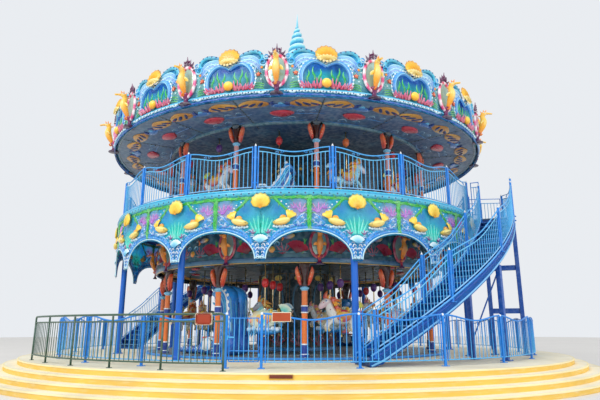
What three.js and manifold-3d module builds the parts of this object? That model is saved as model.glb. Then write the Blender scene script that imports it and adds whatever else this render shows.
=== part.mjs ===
// Two-deck fairground carousel with an undersea theme: a stepped plinth, two turntables on one axis that
// turn opposite ways, a fixed gallery ring round them, and two curved stairs. The lower turntable carries the
// lower deck and its ceiling, and the upper one, on a tower inside it, carries the upper deck and the canopy.
// Millimetres, +Z up. The origin is on the carousel's axis at the underside of the plinth, and the front
// faces -Y.
import * as THREE from "three";
import { mergeVertices } from "three/addons/utils/BufferGeometryUtils.js";
import Module from "manifold-3d";

// Heights
const PLINTH_RISER = 125;
const PLINTH_STEPS = 4;
const GROUND_FLOOR = PLINTH_RISER * PLINTH_STEPS;
const PLATFORM_CLEARANCE = 10;
const PLATFORM_TOP = GROUND_FLOOR + 65;
const LOWER_CEILING = 3120;
const LOWER_CEILING_THICKNESS = 60;
const INNER_BOARD_BOTTOM = 2930;
const UPPER_FLOOR = 4540;
const UPPER_FLOOR_UNDERSIDE = 4430;
const GALLERY_KERB = 10;
const GALLERY_TOP = UPPER_FLOOR + GALLERY_KERB;
const CANOPY_CEILING = 6970;
const CANOPY_CEILING_THICKNESS = 40;
const CANOPY_BOARD_BOTTOM = 6900;
const CANOPY_BOARD_TOP = 7950;
const CANOPY_SHELL_TOP = 8250;
const ROOF_EAVES = 7400;
const ROOF_TOP = 10400;
const MAST_TOP = 10450;
const SPIRE_TIP = 13460;

// Radii from the axis
const PLINTH_RADIUS = 9310;
const PLINTH_TREAD = 320;
const PLATFORM_RADIUS = 4900;
const LOWER_COLUMN_RING = 4580;
const UPPER_COLUMN_RING = 4470;
const LOWER_CEILING_RADIUS = 4640;
const INNER_BOARD_OUTER = 4760;
const INNER_BOARD_INNER = 4710;
const GALLERY_INNER = 4800;
const GALLERY_OUTER = 5925;
const BOARD_INNER = 5940;
const BOARD_OUTER = 6000;
const BOARD_FLANGE_INNER = 5860;
const GALLERY_POST_RING = 5750;
const GALLERY_RAIL_RING = 5900;
const CANOPY_BOARD_INNER = 6300;
const CANOPY_BOARD_OUTER = 6360;
const CORE_RADIUS = 1300;
const CORE_BORE = 960;
const TOWER_RADIUS = 820;
const TOWER_BORE = 700;
const UPPER_CORE_RADIUS = 900;
const MAST_RADIUS = 300;
const BEARING_RADIUS = 1150;
const FENCE_RING = 7400;
const QUEUE_RAIL_RING = 8080;

// Angles in degrees, from the front (-Y) towards +X
const BOARD_BAYS = 16;
const BOARD_BAY = 360 / BOARD_BAYS;
const FIRST_PENDANT = -8.4;
const FIRST_SEAHORSE = -4.6;
const DECK_SECTORS = 12;
const DECK_SECTOR = 360 / DECK_SECTORS;
const LOWER_COLUMN_START = 2.5;
const UPPER_COLUMN_START = 7;
const RAIL_PITCH = 360 / 19;
const RAIL_START = 84.53;
const RAIL_PANELS_BETWEEN_STAIRS = 5;
const GATE_LEFT_POST = -11.2;
const GATE_RIGHT_POST = -5.5;
const FENCE_PANELS = 23;
const GATE_BARREL = 17.7;
const GATE_HINGE_OFFSET = 48;
const GATE_LATCH_GAP = 50;
const STAIR_FOOT = 12;
const STAIR_HEAD = RAIL_START - RAIL_PITCH;
const SECOND_STAIR_MIRROR = 131.86;

// Stair
const RISERS = 24;
const STAIR_RISE = (GALLERY_TOP - GROUND_FLOOR) / RISERS;
const STAIR_GOING = (STAIR_HEAD - STAIR_FOOT) / (RISERS - 1);
const STAIR_INNER = 6240;
const STAIR_OUTER = 7220;
const STAIR_RAIL_INSET = 30;
const STAIR_POST_TREADS = [0, 7, 15, 22];
const STRINGER_BELOW = 235;
const STAIR_TRESTLE_ANGLE = 46;
const LANDING_LEG_ANGLE = 69;
const LEG = 120;
const LANDING_GAP = 12;

// Mounts
const LOWER_ROWS = [4000, 3200, 2400];
const ROW_SCALES = [1, 0.9, 0.72];
const UPPER_ROW = 3900;
const LOWER_CRANK_HEIGHT = 3540;
const UPPER_CRANK_HEIGHT = 7250;
const POLE = 44;
const SEAT_HEIGHT = 1000;
const LOWER_CHARIOT_SECTORS = [5, 11];
const UPPER_CHARIOT_SECTORS = [0, 6];
const LOWER_FACING = -1;
const UPPER_FACING = 1;
const LOWER_CHARIOT = { radius: 3775, depth: 750, height: 1900, rear: 1340, crest: -850, front: 900 };
const UPPER_CHARIOT = { radius: 3800, depth: 760, height: 1350, rear: 850, crest: 250, front: 850 };

// Drawing
const PLINTH_SIDES = 48;
const RING_SIDES = 32;
const DECK_SIDES = 24;
const TOUCH = 0.3;

const wasm = await Module();
wasm.setup();

const radians = THREE.MathUtils.degToRad;

// A closed geometry as a solid that can be joined and cut.
function solid(geometry) {
  geometry.deleteAttribute("normal");
  geometry.deleteAttribute("uv");
  const merged = mergeVertices(geometry, 1e-3);
  return new wasm.Manifold(
    new wasm.Mesh({
      numProp: 3,
      vertProperties: merged.attributes.position.array,
      triVerts: new Uint32Array(merged.index.array),
    }),
  );
}

function join(solids) {
  return solids.reduce((whole, next) => whole.add(next));
}

function geometryOf(made) {
  const mesh = made.getMesh();
  const geometry = new THREE.BufferGeometry();
  geometry.setAttribute("position", new THREE.BufferAttribute(mesh.vertProperties, 3));
  geometry.setIndex(new THREE.BufferAttribute(mesh.triVerts, 1));
  geometry.computeVertexNormals();
  return geometry;
}

// A point at a radius and an angle from the front.
function at(radius, angle, height) {
  const a = radians(angle);
  return new THREE.Vector3(radius * Math.sin(a), -radius * Math.cos(a), height);
}

// A profile of [radius, height] points turned round the axis, starting at an angle.
function turned(profile, sides, start = 0) {
  const points = profile.map(([radius, height]) => new THREE.Vector2(radius, height));
  const lathe = new THREE.LatheGeometry(points, sides, radians(start));
  return solid(lathe.rotateX(Math.PI / 2));
}

// A full ring with a rectangular section.
function ring(inner, outer, low, high, sides, start = 0) {
  const profile = [[inner, low], [outer, low], [outer, high], [inner, high], [inner, low]];
  return turned(profile, sides, start);
}

function disc(radius, low, high, sides, start = 0) {
  return turned([[0, low], [radius, low], [radius, high], [0, high]], sides, start);
}

// A bar or board bent round the axis: it passes the given angles, between two radii, and its lower and upper
// edges are heights that may change along it.
function bent(angles, inner, outer, low, high) {
  const steps = angles.length - 1;
  const box = new THREE.BoxGeometry(steps, 1, 1, steps, 1, 1);
  const position = box.attributes.position;
  for (let i = 0; i < position.count; i++) {
    const index = Math.round(position.getX(i) + steps / 2);
    const radius = position.getY(i) < 0 ? outer : inner;
    const edge = position.getZ(i) < 0 ? low : high;
    const height = typeof edge === "function" ? edge(angles[index], index) : edge;
    const p = at(radius, angles[index], height);
    position.setXYZ(i, p.x, p.y, p.z);
  }
  return solid(box);
}

// Evenly spaced values from one angle to another.
function spread(from, to, steps) {
  return Array.from({ length: steps + 1 }, (_, i) => from + ((to - from) * i) / steps);
}

// A box that stands at a radius and an angle and faces the axis: its width is along the ring and its depth
// along the radius.
function standing(radius, angle, width, depth, low, high) {
  const box = new THREE.BoxGeometry(width, depth, high - low);
  box.translate(0, -radius, (low + high) / 2);
  return solid(box.rotateZ(radians(angle)));
}

// A round post with few sides, at a radius and an angle.
function post(radius, angle, diameter, low, high, sides = 8) {
  const cylinder = new THREE.CylinderGeometry(diameter / 2, diameter / 2, high - low, sides);
  cylinder.rotateX(Math.PI / 2);
  cylinder.translate(0, -radius, (low + high) / 2);
  return solid(cylinder.rotateZ(radians(angle)));
}

// A bar along the radius at one angle.
function spoke(angle, from, to, width, low, high) {
  return standing((from + to) / 2, angle, width, to - from, low, high);
}

// The same solid reflected in the upright plane through the axis at an angle.
function mirrored(made, angle) {
  const geometry = geometryOf(made);
  geometry.rotateZ(-radians(angle));
  geometry.scale(-1, 1, 1);
  geometry.rotateZ(radians(angle));
  const index = geometry.index.array;
  for (let i = 0; i < index.length; i += 3) {
    [index[i + 1], index[i + 2]] = [index[i + 2], index[i + 1]];
  }
  return solid(geometry);
}

const paint = {
  cream: [0xf3e3b2, 0.7],
  blue: [0x1f7fd6, 0.35],
  deepBlue: [0x1456b8, 0.4],
  aqua: [0x35b8d8, 0.4],
  teal: [0x1c5468, 0.6],
  green: [0x3e5a44, 0.45],
  orange: [0xd8622e, 0.4],
  paleBlue: [0x9cd3e6, 0.45],
  white: [0xeeeae0, 0.4],
  deck: [0x7d8a90, 0.6],
};

const carousel = new THREE.Group();

function add(name, made, [colour, roughness]) {
  const material = new THREE.MeshStandardMaterial({ color: colour, roughness, metalness: 0.1 });
  const mesh = new THREE.Mesh(geometryOf(made), material);
  mesh.name = name;
  carousel.add(mesh);
}

// Plinth: four round steps
function plinth() {
  const profile = [[0, 0]];
  for (let i = 0; i < PLINTH_STEPS; i++) {
    const radius = PLINTH_RADIUS - i * PLINTH_TREAD;
    profile.push([radius, i * PLINTH_RISER], [radius, (i + 1) * PLINTH_RISER]);
  }
  profile.push([0, GROUND_FLOOR]);
  return turned(profile, PLINTH_SIDES);
}

// A railing on a ring: posts at the given angles, a top and a bottom rail, and a few of its bars.
// The rails stop just short of an end post that the next run owns.
function railing(spec) {
  const { radius, posts, foot, top, bottom, bars = 1, steps = 2, postSize = 60, rail = 40 } = spec;
  const { ownsFirst = true, ownsLast = true, head = (angle) => top(angle) + 60 } = spec;
  const shy = THREE.MathUtils.radToDeg((postSize / 2 + 2 * TOUCH) / radius);
  const parts = [];
  const last = posts.length - 1;
  const angles = [];
  for (let i = 0; i < last; i++) {
    angles.push(...spread(posts[i], posts[i + 1], steps).slice(0, -1));
  }
  angles.push(posts[last]);
  if (!ownsFirst) angles[0] += shy;
  if (!ownsLast) angles[angles.length - 1] -= shy;
  const inner = radius - rail / 2;
  const outer = radius + rail / 2;
  parts.push(bent(angles, inner, outer, (a) => top(a) - rail, top));
  parts.push(bent(angles, inner, outer, (a) => bottom(a) - rail, bottom));
  posts.forEach((angle, i) => {
    if ((i > 0 || ownsFirst) && (i < last || ownsLast)) {
      parts.push(standing(radius, angle, postSize, postSize, foot(angle), head(angle)));
    }
    for (let k = 1; i < last && k <= bars; k++) {
      const a = angle + ((posts[i + 1] - angle) * k) / (bars + 1);
      parts.push(standing(radius, a, 20, 20, bottom(a) - rail / 2, top(a) - rail / 2));
    }
  });
  return join(parts);
}

// A wave-shaped top edge: highest at the posts and lowest midway between them.
function wave(start, pitch, high, dip) {
  return (angle) => high - dip * Math.sin((Math.PI * (angle - start)) / pitch) ** 2;
}

// A long railing in several runs, with a number of panels in each. Neighbouring runs share a post.
function addRuns(names, panels, firstPost, pitch, spec) {
  let from = 0;
  names.forEach((name, n) => {
    const posts = Array.from({ length: panels[n] + 1 }, (_, i) => firstPost + (from + i) * pitch);
    add(name, railing({ ...spec, posts, ownsFirst: n === 0 }), paint.blue);
    from += panels[n];
  });
}

// Fence round the plinth, its gate, and the queue rail in front of it
const FENCE_PITCH = (360 + GATE_LEFT_POST - GATE_RIGHT_POST) / FENCE_PANELS;
const FENCE_HEIGHT = 1090;

function groundWorks() {
  const fences = ["fence_1", "fence_2", "fence_3", "fence_4"];
  addRuns(fences, [6, 6, 6, 5], GATE_RIGHT_POST, FENCE_PITCH, {
    radius: FENCE_RING,
    foot: () => GROUND_FLOOR + TOUCH,
    top: wave(GATE_RIGHT_POST, FENCE_PITCH, GROUND_FLOOR + FENCE_HEIGHT, 130),
    bottom: () => GROUND_FLOOR + 150,
  });

  const post = at(FENCE_RING, GATE_RIGHT_POST, 0);
  const latch = at(FENCE_RING, GATE_LEFT_POST, 0);
  const span = post.distanceTo(latch);
  const hinge = span / 2 - GATE_HINGE_OFFSET;
  const width = span - GATE_HINGE_OFFSET - GATE_LATCH_GAP;
  const gateBox = (x, z, w, h) => solid(new THREE.BoxGeometry(w, 30, h).translate(x, 0, z));
  const low = GROUND_FLOOR + 120;
  const high = GROUND_FLOOR + 1000;
  const middle = (low + high) / 2;
  const bars = [0, 0.5, 1].map((k) => gateBox(hinge - 15 - k * (width - 30), middle, 30, high - low));
  const rails = [low + 15, high - 15].map((z) => gateBox(hinge - width / 2, z, width, 30));
  const barrel = new THREE.CylinderGeometry(GATE_BARREL, GATE_BARREL, 200, 8).rotateX(Math.PI / 2);
  const gate = geometryOf(join([...bars, ...rails, solid(barrel.translate(hinge, 0, middle))]));
  gate.rotateZ(Math.atan2(post.y - latch.y, post.x - latch.x));
  gate.translate((post.x + latch.x) / 2, (post.y + latch.y) / 2, 0);
  add("entrance_gate", solid(gate), paint.blue);

  const queuePosts = [-55.6, -46.4, -37.3, -28.2, -19.1, -9.9];
  const queueRail = railing({
    radius: QUEUE_RAIL_RING,
    posts: queuePosts,
    foot: () => GROUND_FLOOR + TOUCH,
    top: () => GROUND_FLOOR + 1080,
    bottom: () => GROUND_FLOOR + 160,
    head: () => GROUND_FLOOR + 1060,
    steps: 1,
    postSize: 50,
  });
  add("queue_rail", queueRail, paint.green);
}

// Gallery: the fixed ring round the upper deck, on eight posts, with hanging arched boards and a railing
const PENDANT_BOTTOM = 2880;
const ARCH_APEX = 3580;
const PENDANT_HALF = 1.2;

function archAngles(first, bays) {
  const half = BOARD_BAY / 2;
  const reach = half - PENDANT_HALF;
  const across = [-1, -0.88, -0.55, 0, 0.55, 0.88, 1].map((k) => half + k * reach);
  const angles = [];
  for (let bay = 0; bay < bays; bay++) {
    const start = first + bay * BOARD_BAY;
    angles.push(start, ...across.map((a) => start + a));
  }
  angles.push(first + bays * BOARD_BAY);
  return angles;
}

function archHeight(angle) {
  const half = BOARD_BAY / 2;
  const turn = THREE.MathUtils.euclideanModulo(angle - FIRST_PENDANT, BOARD_BAY) - half;
  const share = Math.min(1, Math.abs(turn) / (half - PENDANT_HALF));
  return PENDANT_BOTTOM + (ARCH_APEX - PENDANT_BOTTOM) * Math.sqrt(1 - share * share);
}

function gallery() {
  const floor = ring(GALLERY_INNER, GALLERY_OUTER, UPPER_FLOOR_UNDERSIDE, UPPER_FLOOR, RING_SIDES);
  const posts = [];
  for (let i = 0; i < BOARD_BAYS / 2; i++) {
    const angle = FIRST_PENDANT + BOARD_BAY * (2 * i + 1);
    posts.push(post(GALLERY_POST_RING, angle, 170, GROUND_FLOOR + TOUCH, UPPER_FLOOR_UNDERSIDE + 50, 6));
  }
  add("gallery_frame", join([floor, ...posts]), paint.deepBlue);

  const gap = THREE.MathUtils.radToDeg(TOUCH / BOARD_INNER);
  for (let quarter = 0; quarter < 4; quarter++) {
    const first = FIRST_PENDANT + quarter * 90;
    const angles = archAngles(first, BOARD_BAYS / 4);
    angles[0] += gap;
    angles[angles.length - 1] -= gap;
    const sheet = bent(angles, BOARD_INNER, BOARD_OUTER, archHeight, GALLERY_TOP);
    const flangeAngles = spread(angles[0], angles[angles.length - 1], 8);
    const flangeLow = UPPER_FLOOR + TOUCH;
    const flange = bent(flangeAngles, BOARD_FLANGE_INNER, BOARD_INNER + 30, flangeLow, GALLERY_TOP);
    add("rounding_board_" + (quarter + 1), join([sheet, flange]), paint.aqua);
  }

  const galleryRail = {
    radius: GALLERY_RAIL_RING,
    foot: () => GALLERY_TOP + TOUCH,
    top: wave(RAIL_START, RAIL_PITCH, GALLERY_TOP + 1180, 150),
    bottom: () => GALLERY_TOP + 120,
  };
  const secondStart = RAIL_START + (RAIL_PANELS_BETWEEN_STAIRS + 1) * RAIL_PITCH;
  addRuns(["gallery_rail_1"], [RAIL_PANELS_BETWEEN_STAIRS], RAIL_START, RAIL_PITCH, galleryRail);
  addRuns(["gallery_rail_2", "gallery_rail_3"], [6, 6], secondStart, RAIL_PITCH, galleryRail);
}

// Stair: a flight that winds round the carousel, its railings, its landing at the gallery and its trestles
function nosing(angle) {
  return GROUND_FLOOR + STAIR_RISE + ((angle - STAIR_FOOT) / STAIR_GOING) * STAIR_RISE;
}

function stairFlight() {
  const riserSlope = 0.02;
  const angles = [];
  const tops = [];
  for (let i = 0; i < RISERS - 1; i++) {
    const riser = STAIR_FOOT + i * STAIR_GOING;
    const tread = GROUND_FLOOR + (i + 1) * STAIR_RISE;
    angles.push(riser + (i ? riserSlope : 0), riser + STAIR_GOING);
    tops.push(tread, tread);
  }
  angles[angles.length - 1] -= riserSlope;
  const underside = (angle) => Math.max(GROUND_FLOOR + TOUCH, nosing(angle) - STRINGER_BELOW);
  return bent(angles, STAIR_INNER, STAIR_OUTER, underside, (_, index) => tops[index]);
}

function tread(index) {
  return GROUND_FLOOR + (index + 1) * STAIR_RISE;
}

// The height of a stair handrail: lower over the nosings at the foot, with a dip in each panel.
function handrail(posts) {
  return (angle) => {
    const panel = posts.findLastIndex((start, i) => i === 0 || angle >= start - 0.01);
    const from = posts[Math.min(panel, posts.length - 2)];
    const pitch = posts[Math.min(panel, posts.length - 2) + 1] - from;
    const dip = 110 * Math.sin((Math.PI * (angle - from)) / pitch) ** 2;
    const lift = THREE.MathUtils.clamp((angle - posts[0]) / (posts[1] - posts[0]), 0, 1);
    return nosing(angle) + 850 + 200 * lift - dip;
  };
}

// Each post of a stair railing stands in the middle of a tread.
function stairRailing(radius) {
  const posts = STAIR_POST_TREADS.map((index) => STAIR_FOOT + (index + 0.5) * STAIR_GOING);
  return {
    radius,
    posts,
    foot: (angle) => tread(Math.floor((angle - STAIR_FOOT) / STAIR_GOING)) + TOUCH,
    top: handrail(posts),
    bottom: (angle) => nosing(angle) + 110,
    steps: 3,
    postSize: 50,
  };
}

function landing() {
  const angles = spread(STAIR_HEAD + 0.02, RAIL_START, 6);
  const deck = bent(angles, BOARD_OUTER + LANDING_GAP, STAIR_OUTER, UPPER_FLOOR_UNDERSIDE, GALLERY_TOP);
  const legFoot = GROUND_FLOOR + TOUCH;
  const legHead = UPPER_FLOOR_UNDERSIDE + 20;
  const inner = STAIR_INNER + LEG / 2;
  const outer = STAIR_OUTER - LEG / 2;
  const legs = [inner, outer].map((r) => standing(r, LANDING_LEG_ANGLE, LEG, LEG, legFoot, legHead));
  const beams = [1770, 3050].map((z) => spoke(LANDING_LEG_ANGLE, inner, outer, 90, z - 75, z + 75));
  return join([deck, ...legs, ...beams]);
}

function stairTrestle() {
  const legFoot = GROUND_FLOOR + TOUCH;
  const halfLeg = THREE.MathUtils.radToDeg(LEG / 2 / STAIR_INNER);
  const legHead = nosing(STAIR_TRESTLE_ANGLE - halfLeg) - STRINGER_BELOW - 4;
  const inner = STAIR_INNER + LEG / 2;
  const outer = STAIR_OUTER - LEG / 2;
  const legs = [inner, outer].map((r) => standing(r, STAIR_TRESTLE_ANGLE, LEG, LEG, legFoot, legHead));
  const beam = spoke(STAIR_TRESTLE_ANGLE, inner, outer, 90, legHead - 150, legHead);
  return join([...legs, beam]);
}

function landingRailing() {
  const radius = STAIR_OUTER - STAIR_RAIL_INSET;
  const posts = [STAIR_HEAD + 0.6, RAIL_START - 0.4];
  const side = railing({
    radius,
    posts,
    foot: () => GALLERY_TOP + TOUCH,
    top: wave(posts[0], posts[1] - posts[0], GALLERY_TOP + 1180, 150),
    bottom: () => GALLERY_TOP + 120,
    steps: 4,
  });
  const end = posts[1];
  const near = BOARD_OUTER + 40;
  const bar = (low, high) => spoke(end, near, radius, 40, low, high);
  const rails = [bar(GALLERY_TOP + 80, GALLERY_TOP + 120), bar(GALLERY_TOP + 1080, GALLERY_TOP + 1120)];
  const uprights = [near + 30, (near + radius) / 2].map((r) =>
    standing(r, end, 30, 30, GALLERY_TOP + TOUCH, GALLERY_TOP + 1110),
  );
  return join([side, ...rails, ...uprights]);
}

// The narrow panel that closes the space between the gallery railing and the stair's inner newel.
function innerRailing() {
  const radius = STAIR_INNER + STAIR_RAIL_INSET;
  const spec = stairRailing(radius);
  const newel = spec.posts[3];
  const near = BOARD_OUTER + 40;
  const high = GALLERY_TOP + 1150;
  const rails = [GALLERY_TOP + 130, high - 20].map((z) => spoke(newel, near, radius, 40, z - 20, z + 20));
  const upright = standing(near, newel, 40, 40, GALLERY_TOP + 110, high);
  return join([railing(spec), ...rails, upright]);
}

function addStair(prefix, place) {
  const outerRailing = railing(stairRailing(STAIR_OUTER - STAIR_RAIL_INSET));
  add(prefix + "flight", place(stairFlight()), paint.blue);
  add(prefix + "outer_rail", place(outerRailing), paint.blue);
  add(prefix + "inner_rail", place(innerRailing()), paint.blue);
  add(prefix + "landing", place(landing()), paint.blue);
  add(prefix + "landing_rail", place(landingRailing()), paint.blue);
  add(prefix + "trestle", place(stairTrestle()), paint.deepBlue);
}

// The turning centre: bearing, platform, columns, core, ceilings, upper floor and canopy
function sectorAngle(start, index) {
  return start + DECK_SECTOR * (index - 0.5);
}

function columnRow(radius, start, diameter, foot, head, headRing) {
  const columns = [];
  for (let i = 0; i < DECK_SECTORS; i++) {
    columns.push(post(radius, start + i * DECK_SECTOR, diameter, foot, head, 6));
  }
  return join([ring(radius - 40, radius + 40, headRing, headRing + 60, DECK_SECTORS, start), ...columns]);
}

function turningCentre() {
  const bearingTop = GROUND_FLOOR + 30;
  add("centre_bearing", disc(BEARING_RADIUS, GROUND_FLOOR + TOUCH, bearingTop, DECK_SIDES), paint.deck);

  const platformLow = GROUND_FLOOR + PLATFORM_CLEARANCE;
  const platform = ring(BEARING_RADIUS + 40, PLATFORM_RADIUS, platformLow, PLATFORM_TOP, DECK_SIDES);
  add("lower_platform", platform, paint.deck);

  const bossFoot = bearingTop + TOUCH;
  const drumFoot = PLATFORM_TOP + TOUCH;
  const drumHead = UPPER_FLOOR_UNDERSIDE - 30;
  const coreProfile = [
    [CORE_BORE, bossFoot],
    [BEARING_RADIUS - 20, bossFoot],
    [BEARING_RADIUS - 20, drumFoot],
    [CORE_RADIUS, drumFoot],
    [CORE_RADIUS, drumHead],
    [CORE_BORE, drumHead],
    [CORE_BORE, bossFoot],
  ];
  const coreStart = sectorAngle(LOWER_COLUMN_START, 0) - 7.5;
  add("lower_core", turned(coreProfile, DECK_SIDES, coreStart), paint.teal);

  const towerHead = UPPER_FLOOR_UNDERSIDE - TOUCH;
  const tower = ring(TOWER_BORE, TOWER_RADIUS, bossFoot, towerHead, DECK_SIDES);
  add("upper_tower", tower, paint.deck);

  const lowerHead = LOWER_CEILING - TOUCH;
  const lowerColumns = columnRow(
    LOWER_COLUMN_RING, LOWER_COLUMN_START, 165, PLATFORM_TOP + TOUCH, lowerHead, lowerHead - 60,
  );
  add("lower_columns", lowerColumns, paint.orange);

  const ceilingTop = LOWER_CEILING + LOWER_CEILING_THICKNESS;
  const slots = [];
  for (let i = 0; i < DECK_SECTORS; i++) {
    const angle = sectorAngle(LOWER_COLUMN_START, i);
    const from = LOWER_ROWS[2] - 60;
    slots.push(spoke(angle, from, LOWER_ROWS[0] + 60, 110, LOWER_CEILING - 1, ceilingTop + 1));
  }
  const plate = ring(
    CORE_RADIUS + 20, LOWER_CEILING_RADIUS, LOWER_CEILING, ceilingTop, DECK_SIDES, LOWER_COLUMN_START,
  );
  add("lower_ceiling", slots.reduce((whole, slot) => whole.subtract(slot), plate), paint.teal);

  const innerBoard = ring(
    INNER_BOARD_INNER, INNER_BOARD_OUTER, INNER_BOARD_BOTTOM, UPPER_FLOOR_UNDERSIDE - TOUCH, PLINTH_SIDES,
  );
  add("inner_board", innerBoard, paint.teal);

  add("upper_floor", disc(INNER_BOARD_OUTER, UPPER_FLOOR_UNDERSIDE, UPPER_FLOOR, DECK_SIDES), paint.deck);

  const upperHead = CANOPY_CEILING - TOUCH;
  const upperColumns = columnRow(
    UPPER_COLUMN_RING, UPPER_COLUMN_START, 150, UPPER_FLOOR + TOUCH, upperHead, upperHead - 60,
  );
  add("upper_columns", upperColumns, paint.orange);

  const upperCoreProfile = [
    [0, UPPER_FLOOR + TOUCH],
    [UPPER_CORE_RADIUS, UPPER_FLOOR + TOUCH],
    [UPPER_CORE_RADIUS, upperHead],
    [MAST_RADIUS, upperHead],
    [MAST_RADIUS, MAST_TOP],
    [0, MAST_TOP],
  ];
  add("upper_core", turned(upperCoreProfile, DECK_SECTORS, UPPER_COLUMN_START), paint.teal);
}

// The canopy's upright board: its top edge is highest at the shells, midway between the seahorses.
function canopyBoard() {
  const half = BOARD_BAY / 2;
  const angles = spread(FIRST_SEAHORSE, FIRST_SEAHORSE + 180, BOARD_BAYS);
  const crest = (angle) => {
    const isShell = Math.round((angle - FIRST_SEAHORSE) / half) % 2;
    return isShell ? CANOPY_SHELL_TOP : CANOPY_BOARD_TOP;
  };
  const front = bent(angles, CANOPY_BOARD_INNER, CANOPY_BOARD_OUTER, CANOPY_BOARD_BOTTOM, crest);
  const back = bent(
    angles.map((angle) => angle + 180),
    CANOPY_BOARD_INNER, CANOPY_BOARD_OUTER, CANOPY_BOARD_BOTTOM, crest,
  );
  return front.add(back);
}

function canopy() {
  const ceilingTop = CANOPY_CEILING + CANOPY_CEILING_THICKNESS;
  const rim = CANOPY_BOARD_INNER - TOUCH;
  const plate = ring(MAST_RADIUS + 10, rim, CANOPY_CEILING, ceilingTop, RING_SIDES, FIRST_SEAHORSE);
  const slots = [];
  for (let i = 0; i < DECK_SECTORS; i++) {
    const angle = sectorAngle(UPPER_COLUMN_START, i);
    slots.push(standing(UPPER_ROW, angle, 110, 110, CANOPY_CEILING - 1, ceilingTop + 1));
  }
  const slotted = slots.reduce((whole, slot) => whole.subtract(slot), plate);
  add("canopy_ceiling", slotted, paint.paleBlue);

  const ornaments = [];
  for (let i = 0; i < BOARD_BAYS; i++) {
    const seahorse = new THREE.OctahedronGeometry(1, 0).scale(330, 460, 760);
    seahorse.translate(0, -6440, 7720);
    ornaments.push(solid(seahorse.rotateZ(radians(FIRST_SEAHORSE + i * BOARD_BAY))));
  }
  const bore = disc(CANOPY_BOARD_INNER, CANOPY_BOARD_BOTTOM - 100, SPIRE_TIP, RING_SIDES, FIRST_SEAHORSE);
  add("canopy_board", join([canopyBoard(), ...ornaments]).subtract(bore), paint.aqua);

  const sheet = 40;
  const roofProfile = [
    [rim, ROOF_EAVES - sheet],
    [rim, ROOF_EAVES],
    [MAST_RADIUS + 40, ROOF_TOP],
    [MAST_RADIUS + 5, ROOF_TOP],
    [MAST_RADIUS + 5, ROOF_TOP - sheet],
    [rim, ROOF_EAVES - sheet],
  ];
  add("canopy_roof", turned(roofProfile, RING_SIDES, FIRST_SEAHORSE), paint.paleBlue);

  const spireProfile = [
    [0, MAST_TOP + TOUCH],
    [560, MAST_TOP + TOUCH],
    [600, 10600],
    [430, 11200],
    [340, 11700],
    [260, 12100],
    [130, 12500],
    [60, 12750],
    [0, SPIRE_TIP],
  ];
  add("spire", turned(spireProfile, 8), paint.paleBlue);
}

// Mounts: each set hangs on poles from crank arms over the ceiling and rises and falls as one. The lower
// deck's mounts face -X at the front and the upper deck's face +X, the way that each deck turns.
function rider(radius, angle, deck, crank, facing, scale = 1) {
  const side = new THREE.Shape();
  side.moveTo(-450, -400);
  side.lineTo(450, -400);
  side.lineTo(560, 100);
  side.lineTo(660, 420);
  side.lineTo(480, 640);
  side.lineTo(-620, 240);
  const width = 300;
  const body = new THREE.ExtrudeGeometry(side, { depth: width, bevelEnabled: false });
  body.rotateX(Math.PI / 2).translate(0, width / 2, 0).scale(scale, scale, scale);
  if (facing < 0) body.rotateZ(Math.PI);
  body.translate(0, -radius, deck + SEAT_HEIGHT);
  const pole = standing(radius, angle, POLE, POLE, deck + SEAT_HEIGHT - 500, crank + 40);
  return solid(body.rotateZ(radians(angle))).add(pole);
}

function crankArm(angle, from, to, crank) {
  return spoke(angle, from, to, 70, crank, crank + 80);
}

function lowerSet(first) {
  const parts = [];
  const reach = CORE_RADIUS * Math.cos(radians(7.5)) + TOUCH;
  for (const index of [first, first + 1]) {
    const angle = sectorAngle(LOWER_COLUMN_START, index);
    const rows = LOWER_CHARIOT_SECTORS.includes(index) ? [2] : [0, 1, 2];
    parts.push(crankArm(angle, reach, LOWER_ROWS[rows[0]] + 40, LOWER_CRANK_HEIGHT));
    for (const row of rows) {
      const scale = ROW_SCALES[row];
      parts.push(rider(LOWER_ROWS[row], angle, PLATFORM_TOP, LOWER_CRANK_HEIGHT, LOWER_FACING, scale));
    }
  }
  const ends = [first, first + 1].map((index) => sectorAngle(LOWER_COLUMN_START, index));
  const link = spread(ends[0], ends[1], 4);
  parts.push(bent(link, 1660, 1740, LOWER_CRANK_HEIGHT + 10, LOWER_CRANK_HEIGHT + 70));
  return join(parts);
}

function upperSet(first) {
  const parts = [];
  const reach = MAST_RADIUS * Math.cos(radians(15)) + TOUCH;
  const indices = [first, first + 1, first + 2];
  for (const index of indices) {
    if (UPPER_CHARIOT_SECTORS.includes(index)) continue;
    const angle = sectorAngle(UPPER_COLUMN_START, index);
    parts.push(crankArm(angle, reach, UPPER_ROW + 40, UPPER_CRANK_HEIGHT));
    parts.push(rider(UPPER_ROW, angle, UPPER_FLOOR, UPPER_CRANK_HEIGHT, UPPER_FACING));
  }
  const ends = indices.filter((index) => !UPPER_CHARIOT_SECTORS.includes(index));
  const from = sectorAngle(UPPER_COLUMN_START, ends[0]);
  const to = sectorAngle(UPPER_COLUMN_START, ends[ends.length - 1]);
  parts.push(bent(spread(from, to, 6), 960, 1040, UPPER_CRANK_HEIGHT + 10, UPPER_CRANK_HEIGHT + 70));
  return join(parts);
}

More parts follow.
